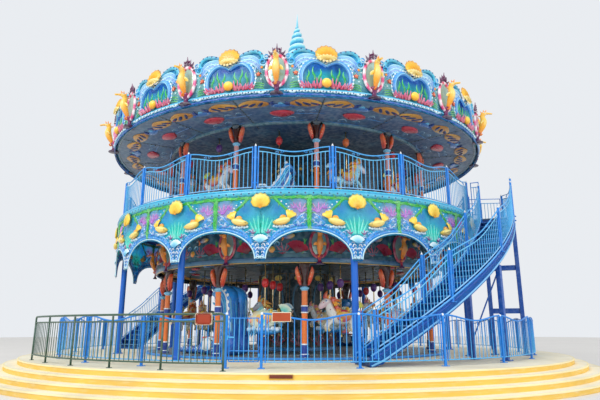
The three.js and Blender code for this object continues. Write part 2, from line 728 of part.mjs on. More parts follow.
// A bench for several riders under a rolling wave. Its side view has the wave's back sloping up from the rear
// to the crest, the hood that curls forward over the seat, and a low floor in front.
function chariot({ radius, depth, height, rear, crest, front }, angle, deck, facing) {
  const shoulder = crest - 0.2 * height;
  const side = new THREE.Shape();
  side.moveTo(-rear, 0);
  side.lineTo(front, 0);
  side.lineTo(front, 0.12 * height);
  side.lineTo(crest + 0.36 * height, 0.12 * height);
  side.lineTo(crest + 0.34 * height, 0.25 * height);
  side.lineTo(crest, 0.22 * height);
  side.lineTo(crest - 0.08 * height, 0.5 * height);
  side.lineTo(crest - 0.02 * height, 0.74 * height);
  side.lineTo(crest + 0.16 * height, 0.83 * height);
  side.lineTo(crest + 0.17 * height, 0.9 * height);
  side.lineTo(crest, height);
  side.lineTo(shoulder, 0.88 * height);
  side.lineTo(0.45 * shoulder - 0.55 * rear, 0.62 * height);
  side.lineTo(-rear, 0.28 * height);
  const shape = new THREE.ExtrudeGeometry(side, { depth, bevelEnabled: false });
  shape.rotateX(Math.PI / 2);
  shape.translate(0, depth / 2, 0);
  if (facing < 0) shape.rotateZ(Math.PI);
  shape.translate(0, -radius, deck + TOUCH);
  return solid(shape.rotateZ(radians(angle)));
}

function mounts() {
  for (let i = 0; i < 6; i++) {
    add("lower_gallopers_" + (i + 1), lowerSet(2 * i), paint.white);
  }
  for (let i = 0; i < 4; i++) {
    add("upper_gallopers_" + (i + 1), upperSet(3 * i), paint.white);
  }
  LOWER_CHARIOT_SECTORS.forEach((index, i) => {
    const angle = sectorAngle(LOWER_COLUMN_START, index);
    const bench = chariot(LOWER_CHARIOT, angle, PLATFORM_TOP, LOWER_FACING);
    add("lower_chariot_" + (i + 1), bench, paint.blue);
  });
  UPPER_CHARIOT_SECTORS.forEach((index, i) => {
    const angle = sectorAngle(UPPER_COLUMN_START, index);
    const bench = chariot(UPPER_CHARIOT, angle, UPPER_FLOOR, UPPER_FACING);
    add("upper_chariot_" + (i + 1), bench, paint.blue);
  });
}

add("plinth", plinth(), paint.cream);
groundWorks();
gallery();
addStair("right_stair_", (made) => made);
addStair("back_stair_", (made) => mirrored(made, SECOND_STAIR_MIRROR));
turningCentre();
canopy();
mounts();

export default carousel;
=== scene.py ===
# %% [markdown]
# # A two-deck carousel under the sea
# The real machine stands 13.5 m high on four round steps. Two turntables turn opposite ways inside a fixed
# gallery, and painted fibreglass boards with shells, fish and sea-horses hide the steel all round. This
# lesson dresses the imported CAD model: it loads the CAD as a fixed frame, makes each visible piece in bmesh,
# and gives each one a procedural material.

import math
from dataclasses import dataclass, replace

import bmesh
import bpy
import numpy as np
from mathutils import Matrix, Vector


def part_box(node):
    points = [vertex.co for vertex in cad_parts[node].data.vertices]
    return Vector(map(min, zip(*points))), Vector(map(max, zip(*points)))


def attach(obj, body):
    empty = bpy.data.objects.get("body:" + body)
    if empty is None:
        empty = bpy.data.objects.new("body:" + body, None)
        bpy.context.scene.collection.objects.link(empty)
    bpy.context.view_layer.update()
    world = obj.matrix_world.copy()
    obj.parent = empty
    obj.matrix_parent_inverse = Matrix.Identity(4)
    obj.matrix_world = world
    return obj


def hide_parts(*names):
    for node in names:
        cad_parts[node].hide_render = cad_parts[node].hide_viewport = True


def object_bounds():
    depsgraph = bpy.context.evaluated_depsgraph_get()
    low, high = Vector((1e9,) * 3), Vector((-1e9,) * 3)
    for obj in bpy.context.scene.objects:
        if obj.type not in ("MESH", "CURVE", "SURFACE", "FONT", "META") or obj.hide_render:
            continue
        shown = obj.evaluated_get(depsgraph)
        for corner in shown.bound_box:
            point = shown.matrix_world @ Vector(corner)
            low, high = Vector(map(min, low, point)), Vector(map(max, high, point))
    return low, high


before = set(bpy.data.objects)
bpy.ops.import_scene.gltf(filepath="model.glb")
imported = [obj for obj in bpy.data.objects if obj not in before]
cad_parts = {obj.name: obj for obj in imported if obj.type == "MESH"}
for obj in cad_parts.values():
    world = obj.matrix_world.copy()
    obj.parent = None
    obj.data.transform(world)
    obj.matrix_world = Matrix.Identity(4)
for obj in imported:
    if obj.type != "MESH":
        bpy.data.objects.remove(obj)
cad_low, cad_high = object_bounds()
print("CAD box", [round(x, 3) for x in cad_low], [round(x, 3) for x in cad_high])

# %% [markdown]
# ## Camera, light and floor
# The camera stands where the photograph was taken: 18 m in front of the axis and a little above a child's
# eyes, tipped up. A pale world and two large lights give soft studio light, and a pale disc is the floor.

# %% Camera
camera_data = bpy.data.cameras.new("camera")
camera_data.lens = 30.69
camera_data.sensor_width = 36
camera_data.clip_end = 400
camera = bpy.data.objects.new("camera", camera_data)
bpy.context.collection.objects.link(camera)
camera.location = (0, -18.055, 1.3196)
camera.rotation_euler = (math.radians(103.884), 0, math.radians(-0.348))
bpy.context.scene.camera = camera
bpy.context.scene.view_settings.view_transform = "Standard"


# %% Lights and world
def soft_light(name, place, target, width, power):
    """A square area light that looks at a point."""
    data = bpy.data.lights.new(name, "AREA")
    data.size = width
    data.energy = power
    light = bpy.data.objects.new(name, data)
    bpy.context.collection.objects.link(light)
    light.location = place
    aim = Vector(target) - Vector(place)
    light.rotation_euler = aim.to_track_quat("-Z", "Y").to_euler()
    return light


soft_light("key", (-16, -26, 24), (0, 0, 5), 16, 5200)
soft_light("fill", (20, -20, 10), (0, 0, 5), 14, 1200)
world = bpy.data.worlds.new("studio")
world.use_nodes = True
world.node_tree.nodes["Background"].inputs["Color"].default_value = (0.93, 0.96, 1.0, 1)
world.node_tree.nodes["Background"].inputs["Strength"].default_value = 0.88
bpy.context.scene.world = world
print("camera and", len(bpy.data.lights), "lights")

# %% [markdown]
# ## How the pieces are made
# The boards repeat sixteen times and the railings hundreds of times, so each small form is made once with
# bmesh operators and then kept as arrays: its points, its faces and the paint at each point. Copies of it are
# placed by matrices, which takes no time. Reliefs are made on a flat bench, with x along the board, z up and
# -y towards the viewer, and are bent round the drum at the end.


# %% Paint colours
def colour(code):
    """A paint's hex code as linear light, which is what a shader expects."""
    values = np.array([int(code[i : i + 2], 16) for i in (0, 2, 4)]) / 255
    return np.where(values <= 0.04045, values / 12.92, ((values + 0.055) / 1.055) ** 2.4)


def sampled(rows, shares):
    """For each share from 0 to 1, the value on a run of evenly spaced rows of numbers."""
    stops = np.linspace(0, 1, len(rows))
    return np.stack([np.interp(shares, stops, column) for column in zip(*rows)], axis=1)


def blended(shares, codes):
    """The same for a run of paints."""
    return sampled([colour(code) for code in codes], shares)


# %% Shapes that can be copied
@dataclass
class Shape:
    """Finished geometry as arrays: one row for each point, face corner or face."""

    points: np.ndarray
    corners: np.ndarray
    sizes: np.ndarray
    finish: np.ndarray
    smooth: np.ndarray
    paint: np.ndarray

    def share(self, axis):
        """Where each point lies between the lowest and the highest point along x, y or z."""
        values = self.points[:, "xyz".index(axis)]
        return (values - values.min()) / max(np.ptp(values), 1e-9)

    def fade(self, axis, *codes):
        """Sprays a run of paints along an axis."""
        self.paint = blended(self.share(axis), codes)
        return self

    def tip(self, code, weights):
        """Sprays one more paint over the first, as thick as the weights say."""
        weights = np.clip(weights, 0, 1)[:, None]
        self.paint = self.paint + weights * (colour(code) - self.paint)
        return self

    def crest(self, code, strength=1.0, power=2.0):
        """Sprays a paint on the points that stand proudest of the board, as a painted highlight."""
        return self.tip(code, strength * (1 - self.share("y")) ** power)

    def moved(self, *matrices):
        """Copies of the shape, one for each matrix, as one shape. A reflection turns its faces round."""
        copies = []
        for matrix in matrices:
            points = self.points @ np.array(matrix.to_3x3()).T + np.array(matrix.translation)
            order = -1 if matrix.determinant() < 0 else 1
            faces = [rows[::order] for rows in (self.corners, self.sizes, self.finish, self.smooth)]
            copies.append(Shape(points, *faces, self.paint))
        return joined(copies)

    def triangles(self):
        return int((self.sizes - 2).sum())


def joined(shapes):
    """Several shapes as one."""
    starts = np.cumsum([0] + [len(s.points) for s in shapes])
    corners = np.concatenate([s.corners + start for s, start in zip(shapes, starts)])
    points = np.vstack([s.points for s in shapes])
    fields = ("sizes", "finish", "smooth", "paint")
    return Shape(points, corners, *[np.concatenate([getattr(s, rows) for s in shapes]) for rows in fields])


FINISHES = []


def arrays_of(mesh, paint, finish, smooth):
    """A mesh as a Shape. The mesh itself is thrown away."""
    if finish not in FINISHES:
        FINISHES.append(finish)
    points = np.empty(len(mesh.vertices) * 3)
    mesh.vertices.foreach_get("co", points)
    corners = np.empty(len(mesh.loops), np.int32)
    mesh.loops.foreach_get("vertex_index", corners)
    sizes = np.empty(len(mesh.polygons), np.int32)
    mesh.polygons.foreach_get("loop_total", sizes)
    bpy.data.meshes.remove(mesh)
    numbers = np.full(len(sizes), FINISHES.index(finish))
    sprayed = np.tile(colour(paint), (len(points) // 3, 1))
    return Shape(points.reshape(-1, 3), corners, sizes, numbers, np.full(len(sizes), smooth), sprayed)


def frozen(bm, paint="FFFFFF", finish="enamel", smooth=True, outward=True):
    """Ends work on a bmesh: doubles merged, normals turned out, kept as a Shape."""
    bmesh.ops.remove_doubles(bm, verts=bm.verts, dist=1e-5)
    if outward:
        bmesh.ops.recalc_face_normals(bm, faces=bm.faces)
    mesh = bpy.data.meshes.new("bench")
    bm.to_mesh(mesh)
    bm.free()
    return arrays_of(mesh, paint, finish, smooth)


# %% Placing
def at(radius, angle, height=0.0):
    """A point at a radius and an angle in degrees, where 0 is the front and angles grow towards +X."""
    turn = math.radians(angle)
    return Vector((radius * math.sin(turn), -radius * math.cos(turn), height))


def shift(x, y, z):
    return Matrix.Translation((x, y, z))


def turn(angle, axis="Z"):
    return Matrix.Rotation(math.radians(angle), 4, axis)


def size(x, y, z):
    return Matrix.Diagonal((x, y, z, 1))


SAME = Matrix.Identity(4)
MIRROR = size(-1, 1, 1)


def leaning(x, z, angle=0.0, scale=1.0, y=0.0):
    """A place on the bench, for a form that leans by an angle and is made larger or smaller."""
    return shift(x, y, z) @ turn(angle, "Y") @ size(scale, 1, abs(scale))


def standing(radius, angle, height=0.0):
    """Carries a form from the bench to a radius and an angle, with its -y side outwards."""
    return turn(angle) @ shift(0, -radius, height)


def ring(radius, start, count, height=0.0):
    """Evenly spaced places all round the axis."""
    return [standing(radius, start + 360 / count * k, height) for k in range(count)]


def wrapped(shape, radius, angle):
    """Bends a flat relief round a drum: x becomes the way round, and -y the height off the drum."""
    x, y, z = shape.points.T
    turns = math.radians(angle) + x / radius
    reach = radius - y
    return replace(shape, points=np.stack([reach * np.sin(turns), -reach * np.cos(turns), z], axis=1))


def both_sides(shape):
    """A shape on the right side and its reflection on the left."""
    return shape.moved(SAME, size(1, -1, 1))


def levels(name):
    """The heights at which a CAD node starts and ends."""
    low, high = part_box(name)
    return low.z, high.z


# %% [markdown]
# Six forms make nearly everything: a turned profile, a bevelled box, a tube on a path, a ball, a puffed
# outline for fish and leaves, and a grid that a rule pulls into a shell or a curved board. A tube is a NURBS
# curve with a round bevel, because the curve gives smooth bends and a taper from a handful of points.


# %% Turned profiles, boxes and balls
def turned(profile, steps, paint="FFFFFF", finish="enamel", smooth=False, arc=360, start=0, lift=0):
    """Spins (radius, height) points round the z axis. They run up the outside and in over the top."""
    bm = bmesh.new()
    verts = [bm.verts.new(at(r, start, lift + z)) for r, z in profile]
    edges = [bm.edges.new(pair) for pair in zip(verts, verts[1:])]
    around = {"cent": (0, 0, 0), "axis": (0, 0, 1), "angle": math.radians(arc), "steps": steps}
    bmesh.ops.spin(bm, geom=verts + edges, use_merge=arc >= 360, **around)
    bmesh.ops.reverse_faces(bm, faces=bm.faces)
    return frozen(bm, paint, finish, smooth, outward=False)


def box(width, depth, height, bevel=0.0, paint="FFFFFF", finish="steel", segments=1):
    """A box on the bench, centred in x and y, standing on z = 0."""
    bm = bmesh.new()
    bmesh.ops.create_cube(bm, size=1, matrix=shift(0, 0, height / 2) @ size(width, depth, height))
    if bevel:
        shape = {"affect": "EDGES", "segments": segments, "profile": 0.5, "material": -1}
        bmesh.ops.bevel(bm, geom=bm.edges[:], offset=bevel, offset_type="OFFSET", **shape)
    return frozen(bm, paint, finish, smooth=False)


def ball(radius, paint="FFFFFF", finish="enamel", around=12, up=8):
    bm = bmesh.new()
    bmesh.ops.create_uvsphere(bm, u_segments=around, v_segments=up, radius=radius)
    return frozen(bm, paint, finish)


def egg(place, reach, paint="FFFFFF", around=12, up=8, finish="enamel"):
    """A ball stretched to three radii at a place."""
    return ball(1.0, paint, finish, around, up).moved(shift(*place) @ size(*reach))


def cone(radius, height, paint="FFFFFF", finish="enamel", sides=8, top=0.0):
    """A cone or a tapered post that stands on z = 0."""
    bm = bmesh.new()
    shape = {"radius1": radius, "radius2": top, "depth": height, "segments": sides}
    bmesh.ops.create_cone(bm, cap_ends=True, matrix=shift(0, 0, height / 2), **shape)
    return frozen(bm, paint, finish)


# %% Tubes
def tubes(paths, radii, paint="FFFFFF", finish="enamel", sides=6, turns=3, closed=False):
    """Round tubes through points. A radius is one number, or one for each point of its path."""
    curve = bpy.data.curves.new("bench", "CURVE")
    curve.dimensions = "3D"
    curve.bevel_depth = 1.0
    curve.bevel_resolution = sides // 2 - 2
    curve.use_fill_caps = True
    for path, radius in zip(paths, radii):
        spline = curve.splines.new("NURBS" if turns and len(path) > 2 else "POLY")
        spline.points.add(len(path) - 1)
        rows = np.ones((len(path), 4))
        rows[:, :3] = np.array([tuple(p) for p in path])
        spline.points.foreach_set("co", rows.ravel())
        spline.points.foreach_set("radius", np.broadcast_to(radius, len(path)).astype(np.float32))
        if spline.type == "NURBS":
            spline.order_u = 3
            spline.resolution_u = turns
            spline.use_endpoint_u = not closed
        spline.use_cyclic_u = closed
    holder = bpy.data.objects.new("bench", curve)
    mesh = bpy.data.meshes.new_from_object(holder)
    bpy.data.objects.remove(holder)
    bpy.data.curves.remove(curve)
    return arrays_of(mesh, paint, finish, smooth=sides > 4)


def stroke(points, thick, paint="FFFFFF", flat=1.0, sides=6, turns=2):
    """A tapering stroke on the bench through (x, z) points. flat squashes it towards the board."""
    made = tubes([[(x, 0.0, z) for x, z in points]], [thick], paint, sides=sides, turns=turns)
    made.points[:, 1] *= flat
    return made


# %% Puffed outlines
def rounded(points, steps=3):
    """A closed outline through rough points, smoothed as a Catmull-Rom loop."""
    p = np.array(points, float)
    before, after, beyond = np.roll(p, 1, 0), np.roll(p, -1, 0), np.roll(p, -2, 0)
    bend, twist = 2 * before - 5 * p + 4 * after - beyond, 3 * p - before - 3 * after + beyond
    shares = np.arange(steps) / steps
    rows = [0.5 * (2 * p + t * (after - before) + t**2 * bend + t**3 * twist) for t in shares]
    return np.stack(rows, axis=1).reshape(-1, 2)


def puffed(outline, height, soft, paint="FFFFFF"):
    """A closed (x, z) outline raised from the board, with shoulders that round off over a width."""
    bm = bmesh.new()
    face = bm.faces.new([bm.verts.new((x, 0, z)) for x, z in outline])
    face.normal_update()
    if face.normal.y > 0:
        bmesh.ops.reverse_faces(bm, faces=[face])
    lifted = bmesh.ops.extrude_face_region(bm, geom=[face], use_keep_orig=True)["geom"]
    points = [g for g in lifted if isinstance(g, bmesh.types.BMVert)]
    top = [g for g in lifted if isinstance(g, bmesh.types.BMFace)]
    bmesh.ops.translate(bm, verts=points, vec=(0, -0.5 * height, 0))
    for width, rise in ((0.35, 0.3), (0.65, 0.2)):
        bmesh.ops.inset_region(bm, faces=top, thickness=soft * width, depth=height * rise)
    return frozen(bm, paint)


# %% Grids pulled by a rule
def pulled(columns, rows, rule, paint="FFFFFF", finish="enamel", wall=0.0):
    """A grid whose points, from -1 to 1 each way, go where a rule sends them. wall thickens it."""
    bm = bmesh.new()
    bmesh.ops.create_grid(bm, x_segments=columns, y_segments=rows, size=1)
    for vert in bm.verts:
        vert.co = rule(vert.co.x, vert.co.y)
    if wall:
        bmesh.ops.solidify(bm, geom=bm.faces[:], thickness=wall)
    return frozen(bm, paint, finish, outward=bool(wall))


def fan(radius, spread, ribs, dome, paints, wall=0.0, scallop=0.05):
    """A scallop shell that opens upwards from its hinge at the origin."""

    def rule(u, v):
        t = (v + 1) / 2
        rib = abs(math.cos(math.pi * ribs * u / 2))
        reach = radius * t * (1 + scallop * t * rib)
        angle = math.radians(spread) * u
        lift = dome * (math.sin(math.pi * min(1, t * 0.9 + 0.1)) ** 0.7 + 0.12) * (0.75 + 0.25 * rib)
        return (reach * math.sin(angle), -lift, reach * math.cos(angle))

    made = pulled(ribs * 2, 6, rule, wall=wall)
    reach = np.hypot(made.points[:, 0], made.points[:, 2]) / radius
    made.paint = blended(np.clip(reach, 0, 1), paints)
    return made


# %% Finished pieces
MATERIALS = {}


def piece(name, body, shapes, replaces=(), slot=None):
    """One named object from shapes. It rides on a CAD body and may stand for CAD nodes."""
    whole = joined(shapes)
    mesh = bpy.data.meshes.new(name)
    mesh.vertices.add(len(whole.points))
    mesh.vertices.foreach_set("co", whole.points.ravel())
    mesh.loops.add(len(whole.corners))
    mesh.loops.foreach_set("vertex_index", whole.corners)
    mesh.polygons.add(len(whole.sizes))
    mesh.polygons.foreach_set("loop_start", np.cumsum(whole.sizes) - whole.sizes)
    used, slots = np.unique(whole.finish, return_inverse=True)
    mesh.polygons.foreach_set("material_index", slots.ravel())
    mesh.polygons.foreach_set("use_smooth", whole.smooth)
    paint = mesh.attributes.new("paint", "FLOAT_COLOR", "POINT")
    paint.data.foreach_set("color", np.hstack([whole.paint, np.ones((len(whole.paint), 1))]).ravel())
    mesh.update(calc_edges=True)
    mesh.validate()
    for number in used:
        mesh.materials.append(MATERIALS[FINISHES[number]])
    made = bpy.data.objects.new(name, mesh)
    bpy.context.collection.objects.link(made)
    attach(made, body)
    if replaces:
        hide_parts(*replaces)
    print(f"{name}: {whole.triangles()} triangles")

# %% [markdown]
# ## Shared paint effects
# Everything here is painted and lives outdoors, so four effects are shared by many materials: a mottled tone,
# paint worn from the edges, dust on whatever faces up, and a fine grain for the bump. Each is a shader node
# group, made once, and every material gives it its own values.


# %% Nodes
def feed(tree, made, inputs):
    """Sets a node's inputs, each to a value or to the socket that feeds it."""
    for label, value in inputs.items():
        if isinstance(value, bpy.types.NodeSocket):
            tree.links.new(value, made.inputs[label])
        else:
            made.inputs[label].default_value = value
    return made.outputs


def node(tree, kind, inputs={}, **settings):
    """A new shader node, as its outputs."""
    made = tree.nodes.new(kind)
    for key, value in settings.items():
        setattr(made, key, value)
    return feed(tree, made, inputs)


def sum_of(tree, operation, first, second):
    return node(tree, "ShaderNodeMath", {0: first, 1: second}, operation=operation)[0]


def ranged(tree, value, low, high, to_low=0.0, to_high=1.0):
    """A value moved from one range to another."""
    return node(tree, "ShaderNodeMapRange", {0: value, 1: low, 2: high, 3: to_low, 4: to_high})[0]


def mixed(tree, factor, first, second, blend_type="MIX"):
    inputs = {"Factor": factor, 6: first, 7: second}
    return node(tree, "ShaderNodeMix", inputs, data_type="RGBA", blend_type=blend_type)[2]


def rgba(code):
    return (*colour(code), 1.0)


def object_place(tree):
    return node(tree, "ShaderNodeTexCoord")["Object"]


def object_noise(tree, scale, detail=3.0, stretch=None):
    """Noise in the piece's own coordinates, stretched along the axes if need be."""
    place = object_place(tree)
    if stretch:
        place = node(tree, "ShaderNodeMapping", {"Vector": place, "Scale": stretch})[0]
    return node(tree, "ShaderNodeTexNoise", {"Vector": place, "Scale": scale, "Detail": detail})[0]


COLOURED = ("Paint", "Bare", "Dirt")


def new_group(name, inputs, outputs):
    """An empty shader group, and the sockets that its inputs feed it through."""
    group = bpy.data.node_groups.new(name, "ShaderNodeTree")
    for side, labels in (("INPUT", inputs), ("OUTPUT", outputs)):
        for label in labels:
            kind = "NodeSocketColor" if label in COLOURED else "NodeSocketFloat"
            group.interface.new_socket(label, in_out=side, socket_type=kind)
    return group, group.nodes.new("NodeGroupInput").outputs


# %% Group: mottled tone
mottled, source = new_group("mottled_tone", ["Paint", "Scale", "Amount"], ["Paint"])
swing = ranged(mottled, object_noise(mottled, source["Scale"]), 0.3, 0.7, -1.0, 1.0)
value = sum_of(mottled, "ADD", 1.0, sum_of(mottled, "MULTIPLY", swing, source["Amount"]))
toned = node(mottled, "ShaderNodeHueSaturation", {"Value": value, "Color": source["Paint"]})
node(mottled, "NodeGroupOutput", {"Paint": toned[0]})

# %% Group: worn edges
worn, source = new_group("worn_edges", ["Paint", "Bare", "Amount"], ["Paint", "Wear"])
edge = ranged(worn, node(worn, "ShaderNodeNewGeometry")["Pointiness"], 0.52, 0.62)
patchy = ranged(worn, object_noise(worn, 9.0), 0.42, 0.6)
wear = sum_of(worn, "MULTIPLY", sum_of(worn, "MULTIPLY", edge, patchy), source["Amount"])
node(worn, "NodeGroupOutput", {"Paint": mixed(worn, wear, source["Paint"], source["Bare"]), "Wear": wear})

# %% Group: dust on whatever faces up
dusted, source = new_group("dust", ["Paint", "Dirt", "Amount"], ["Paint", "Dust"])
normal = node(dusted, "ShaderNodeNewGeometry")["Normal"]
upward = ranged(dusted, node(dusted, "ShaderNodeSeparateXYZ", {0: normal})[2], 0.2, 1.0)
patches = ranged(dusted, object_noise(dusted, 2.5, 5.0), 0.3, 0.65)
dust = sum_of(dusted, "MULTIPLY", sum_of(dusted, "MULTIPLY", upward, patches), source["Amount"])
node(dusted, "NodeGroupOutput", {"Paint": mixed(dusted, dust, source["Paint"], source["Dirt"]), "Dust": dust})

# %% Group: grain and gloss
grained, source = new_group("grain", ["Scale", "Smooth", "Rough"], ["Height", "Roughness"])
fine = object_noise(grained, source["Scale"], 4.0)
broad = object_noise(grained, sum_of(grained, "MULTIPLY", source["Scale"], 0.08), 2.0)
height = sum_of(grained, "ADD", fine, sum_of(grained, "MULTIPLY", broad, 1.6))
gloss = ranged(grained, broad, 0.3, 0.7, source["Smooth"], source["Rough"])
node(grained, "NodeGroupOutput", {"Height": height, "Roughness": gloss})


# %% [markdown]
# ## Materials
# One function makes every painted finish. Where a form has many colours, as the boards and the mounts have,
# the paint comes from the "paint" attribute that the shapes carry, as sprayed fibreglass is coloured by hand.
# The Principled shader stays in each material, with its constant values on its own sockets.


# %% Painted finishes
def painted(name, paint=None, gloss=(0.25, 0.4), tone=(3.0, 0.06), bare=("DDE6EA", 0.2), dust=0.12,
            grain=60.0, bump=0.05, coat=0.0, metallic=0.0, pattern=None):
    """A painted finish. paint None reads the paint attribute; pattern adds (colour, height) of its own."""
    material = bpy.data.materials.new(name)
    material.use_nodes = True
    tree = material.node_tree

    def effect(group, **inputs):
        return node(tree, "ShaderNodeGroup", inputs, node_tree=group)

    base = rgba(paint) if paint else node(tree, "ShaderNodeAttribute", attribute_name="paint")["Color"]
    relief = None
    if pattern:
        base, relief = pattern(tree, base)
    toned = effect(mottled, Paint=base, Scale=tone[0], Amount=tone[1])["Paint"]
    edged = effect(worn, Paint=toned, Bare=rgba(bare[0]), Amount=bare[1])["Paint"]
    dusty = effect(dusted, Paint=edged, Dirt=rgba("B7AF9E"), Amount=dust)["Paint"]
    grainy = effect(grained, Scale=grain, Smooth=gloss[0], Rough=gloss[1])
    height = grainy["Height"]
    if relief:
        height = sum_of(tree, "ADD", sum_of(tree, "MULTIPLY", height, 0.15), relief)
    bumped = node(tree, "ShaderNodeBump", {"Height": height, "Strength": bump, "Distance": 0.02})
    looks = {"Base Color": dusty, "Roughness": grainy["Roughness"], "Normal": bumped["Normal"]}
    looks |= {"Coat Weight": coat, "Coat Roughness": 0.12, "Metallic": metallic}
    feed(tree, tree.nodes["Principled BSDF"], looks)
    return material


# %% Patterns of their own
def chequer_plate(tree, base):
    """Raised lozenges in rows, as rolled into deck plate."""
    place = object_place(tree)
    waves = []
    for angle in (45, -45):
        turned_place = {"Vector": place, "Rotation": (0, 0, math.radians(angle))}
        lines = {"Vector": node(tree, "ShaderNodeMapping", turned_place)[0], "Scale": 8.0}
        waves.append(node(tree, "ShaderNodeTexWave", lines)["Fac"])
    bump = ranged(tree, sum_of(tree, "MULTIPLY", *waves), 0.45, 0.8)
    return mixed(tree, ranged(tree, bump, 0.0, 1.0, 0.0, 0.35), base, rgba("C9CDCB")), bump


def water_light(tree, base):
    """The net of light that water throws, painted over the colour."""
    cells = {"Vector": object_place(tree), "Scale": 2.6, "Randomness": 1.0}
    edges = node(tree, "ShaderNodeTexVoronoi", cells, feature="DISTANCE_TO_EDGE")["Distance"]
    gaps = ranged(tree, object_noise(tree, 1.3), 0.4, 0.7)
    broken = sum_of(tree, "MULTIPLY", ranged(tree, edges, 0.0, 0.22, 0.3, 0.0), gaps)
    return mixed(tree, broken, base, rgba("7FC0D8")), broken


def stained_render(tree, base):
    """Outdoor masonry paint: water marks, foot dirt and a few hairline joints."""
    marks = ranged(tree, object_noise(tree, 0.9, 6.0), 0.45, 0.75, 0.0, 0.3)
    stained = mixed(tree, marks, base, rgba("B79C6C"))
    streaks = object_noise(tree, 3.0, 5.0, (1, 1, 9))
    return mixed(tree, ranged(tree, streaks, 0.5, 0.72, 0.0, 0.22), stained, rgba("FFF6DA")), streaks


def brushed_steel(tree, base):
    """Fine scratches along the length of a pole."""
    lines = object_noise(tree, 4.0, 3.0, (60, 60, 2))
    return mixed(tree, ranged(tree, lines, 0.35, 0.7, 0.0, 0.4), base, rgba("FFFFFF")), lines


def cast_fibreglass(tree, base):
    """The faint ripple and pinholes of hand-laid fibreglass under its paint."""
    pits = node(tree, "ShaderNodeTexVoronoi", {"Vector": object_place(tree), "Scale": 38.0})["Distance"]
    ripple = ranged(tree, object_noise(tree, 5.0), 0.4, 0.8, 0.0, 0.25)
    return mixed(tree, ripple, base, rgba("FFFFFF"), "SOFT_LIGHT"), pits


# %% The finishes
FINISH_TABLE = {
    "enamel": ("airbrushed_enamel", dict(gloss=(0.22, 0.42), coat=0.25, bump=0.12, pattern=cast_fibreglass)),
    "matte": (
        "sprayed_matte",
        dict(gloss=(0.5, 0.7), bare=("D9D2C0", 0.1), bump=0.15, pattern=cast_fibreglass),
    ),
    "steel": ("rail_enamel", dict(
        gloss=(0.28, 0.5), tone=(2.0, 0.05), bare=("CFE6F5", 0.08), dust=0.1, grain=120.0, bump=0.03)),
    "masonry": ("plinth_render", dict(
        gloss=(0.6, 0.85), tone=(0.8, 0.05), bare=("FFF3CE", 0.15), dust=0.1, grain=30.0, bump=0.25,
        pattern=stained_render)),
    "deck": ("deck_plate", dict(
        gloss=(0.35, 0.6), tone=(1.2, 0.08), bare=("E0E0DC", 0.15), dust=0.2, bump=0.5,
        pattern=chequer_plate,
    )),
    "mural": ("painted_water", dict(gloss=(0.45, 0.65), tone=(0.8, 0.1), dust=0.0, pattern=water_light)),
    "pole": ("polished_pole", dict(
        gloss=(0.12, 0.3), tone=(3.0, 0.04), dust=0.05, metallic=0.85, pattern=brushed_steel)),
    # The mirror's grey-green paint is a painted reflection; the finish adds a little real gloss.
    "mirror": ("oval_mirror_painted_reflection", dict(
        paint="A9C9BE", gloss=(0.08, 0.25), tone=(2.0, 0.12), dust=0.1, metallic=0.3, bump=0.02)),
    "sheet": ("roof_sheet", dict(gloss=(0.4, 0.6), tone=(0.7, 0.06), dust=0.4, grain=20.0, bump=0.08)),
    "floor": ("pale_floor", dict(
        paint="E4E0DA", gloss=(0.6, 0.8), tone=(0.2, 0.02), dust=0.0, grain=8.0, bump=0.02)),
}
MATERIALS.update({finish: painted(name, **values) for finish, (name, values) in FINISH_TABLE.items()})
print(len(MATERIALS), "finishes")

# %% Floor
bm = bmesh.new()
bmesh.ops.create_circle(bm, cap_ends=True, segments=96, radius=60)
floor_mesh = bpy.data.meshes.new("studio_floor")
bm.to_mesh(floor_mesh)
bm.free()
floor_mesh.materials.append(MATERIALS["floor"])
floor = bpy.data.objects.new("studio_floor", floor_mesh)
bpy.context.collection.objects.link(floor)
floor.location.z = cad_low.z - 0.002

# %% [markdown]
# ## Plinth
# Four round steps, each 125 mm high, carry everything. The treads are cream, the risers yellow, and the paler
# band round every rounded edge is a painted highlight. Each band is its own turned profile, because a band of
# one colour that meets another at a sharp line can't share points with it.

# %% Heights and radii of the steps
PLINTH_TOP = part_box("plinth")[1].z
PLINTH_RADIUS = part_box("plinth")[1].x
STEPS = 4
RISE = PLINTH_TOP / STEPS
TREAD = 0.32
LIP = 0.012
ROUND = 192


def bare_sign(board, rim, back):
    """A sign without writing: a board, and a rim a little larger behind it."""
    rim_place = shift(0, back, (board[2] - rim[2]) / 2)
    return joined([box(*board, "matte", 2), box(*rim).moved(rim_place)])


# %% Plinth
bands = []
for step in range(STEPS):
    outer = PLINTH_RADIUS - step * TREAD
    low, high = step * RISE, (step + 1) * RISE
    inner = outer - TREAD - LIP if step < STEPS - 1 else 0.0
    start = outer - LIP if step else 0.0
    riser = [(start, low), (outer - LIP, low), (outer - LIP, high - 0.034)]
    nosing = [riser[-1], (outer, high - 0.03), (outer, high - 0.01)]
    nosing += [(outer - 0.01, high), (outer - 0.05, high)]
    bands.append(turned(riser, ROUND, "F2C85C", "masonry"))
    # The pale band on each rounded edge is a painted highlight.
    bands.append(turned(nosing, ROUND, "FAEAB4", "masonry"))
    bands.append(turned([nosing[-1], (inner, high)], ROUND, "FAF0D2", "masonry"))
step_frame = (0.45, 0.006, 0.075, 0.006, "C9A24A", "matte")
step_sign = bare_sign((0.42, 0.012, 0.06, 0.008, "6B2A1C"), step_frame, 0.004)
bands.append(step_sign.moved(standing(PLINTH_RADIUS - 3 * TREAD + 0.008, -1.94, PLINTH_TOP - 0.09)))
piece("plinth_steps", "base", bands, ["plinth"], "plinth_masonry")

# %% [markdown]
# ## Ground railings
# Blue fence panels stand all round on the top step: a top rail that dips between white-capped posts, thin
# bars close together, and a light bottom rail. In front of it runs a dark green queue rail with two rails and
# a rounded end. Rails are tubes through points on the circle, and bars are straight tubes.

# %% Railing helpers
BLUE = "0884E2"
PALE_BLUE = "4CB4F0"
DEEP_BLUE = "0E56B4"
QUEUE_GREEN = "3C5A48"
WHITE = "F4F8F8"
BAR = 0.0095


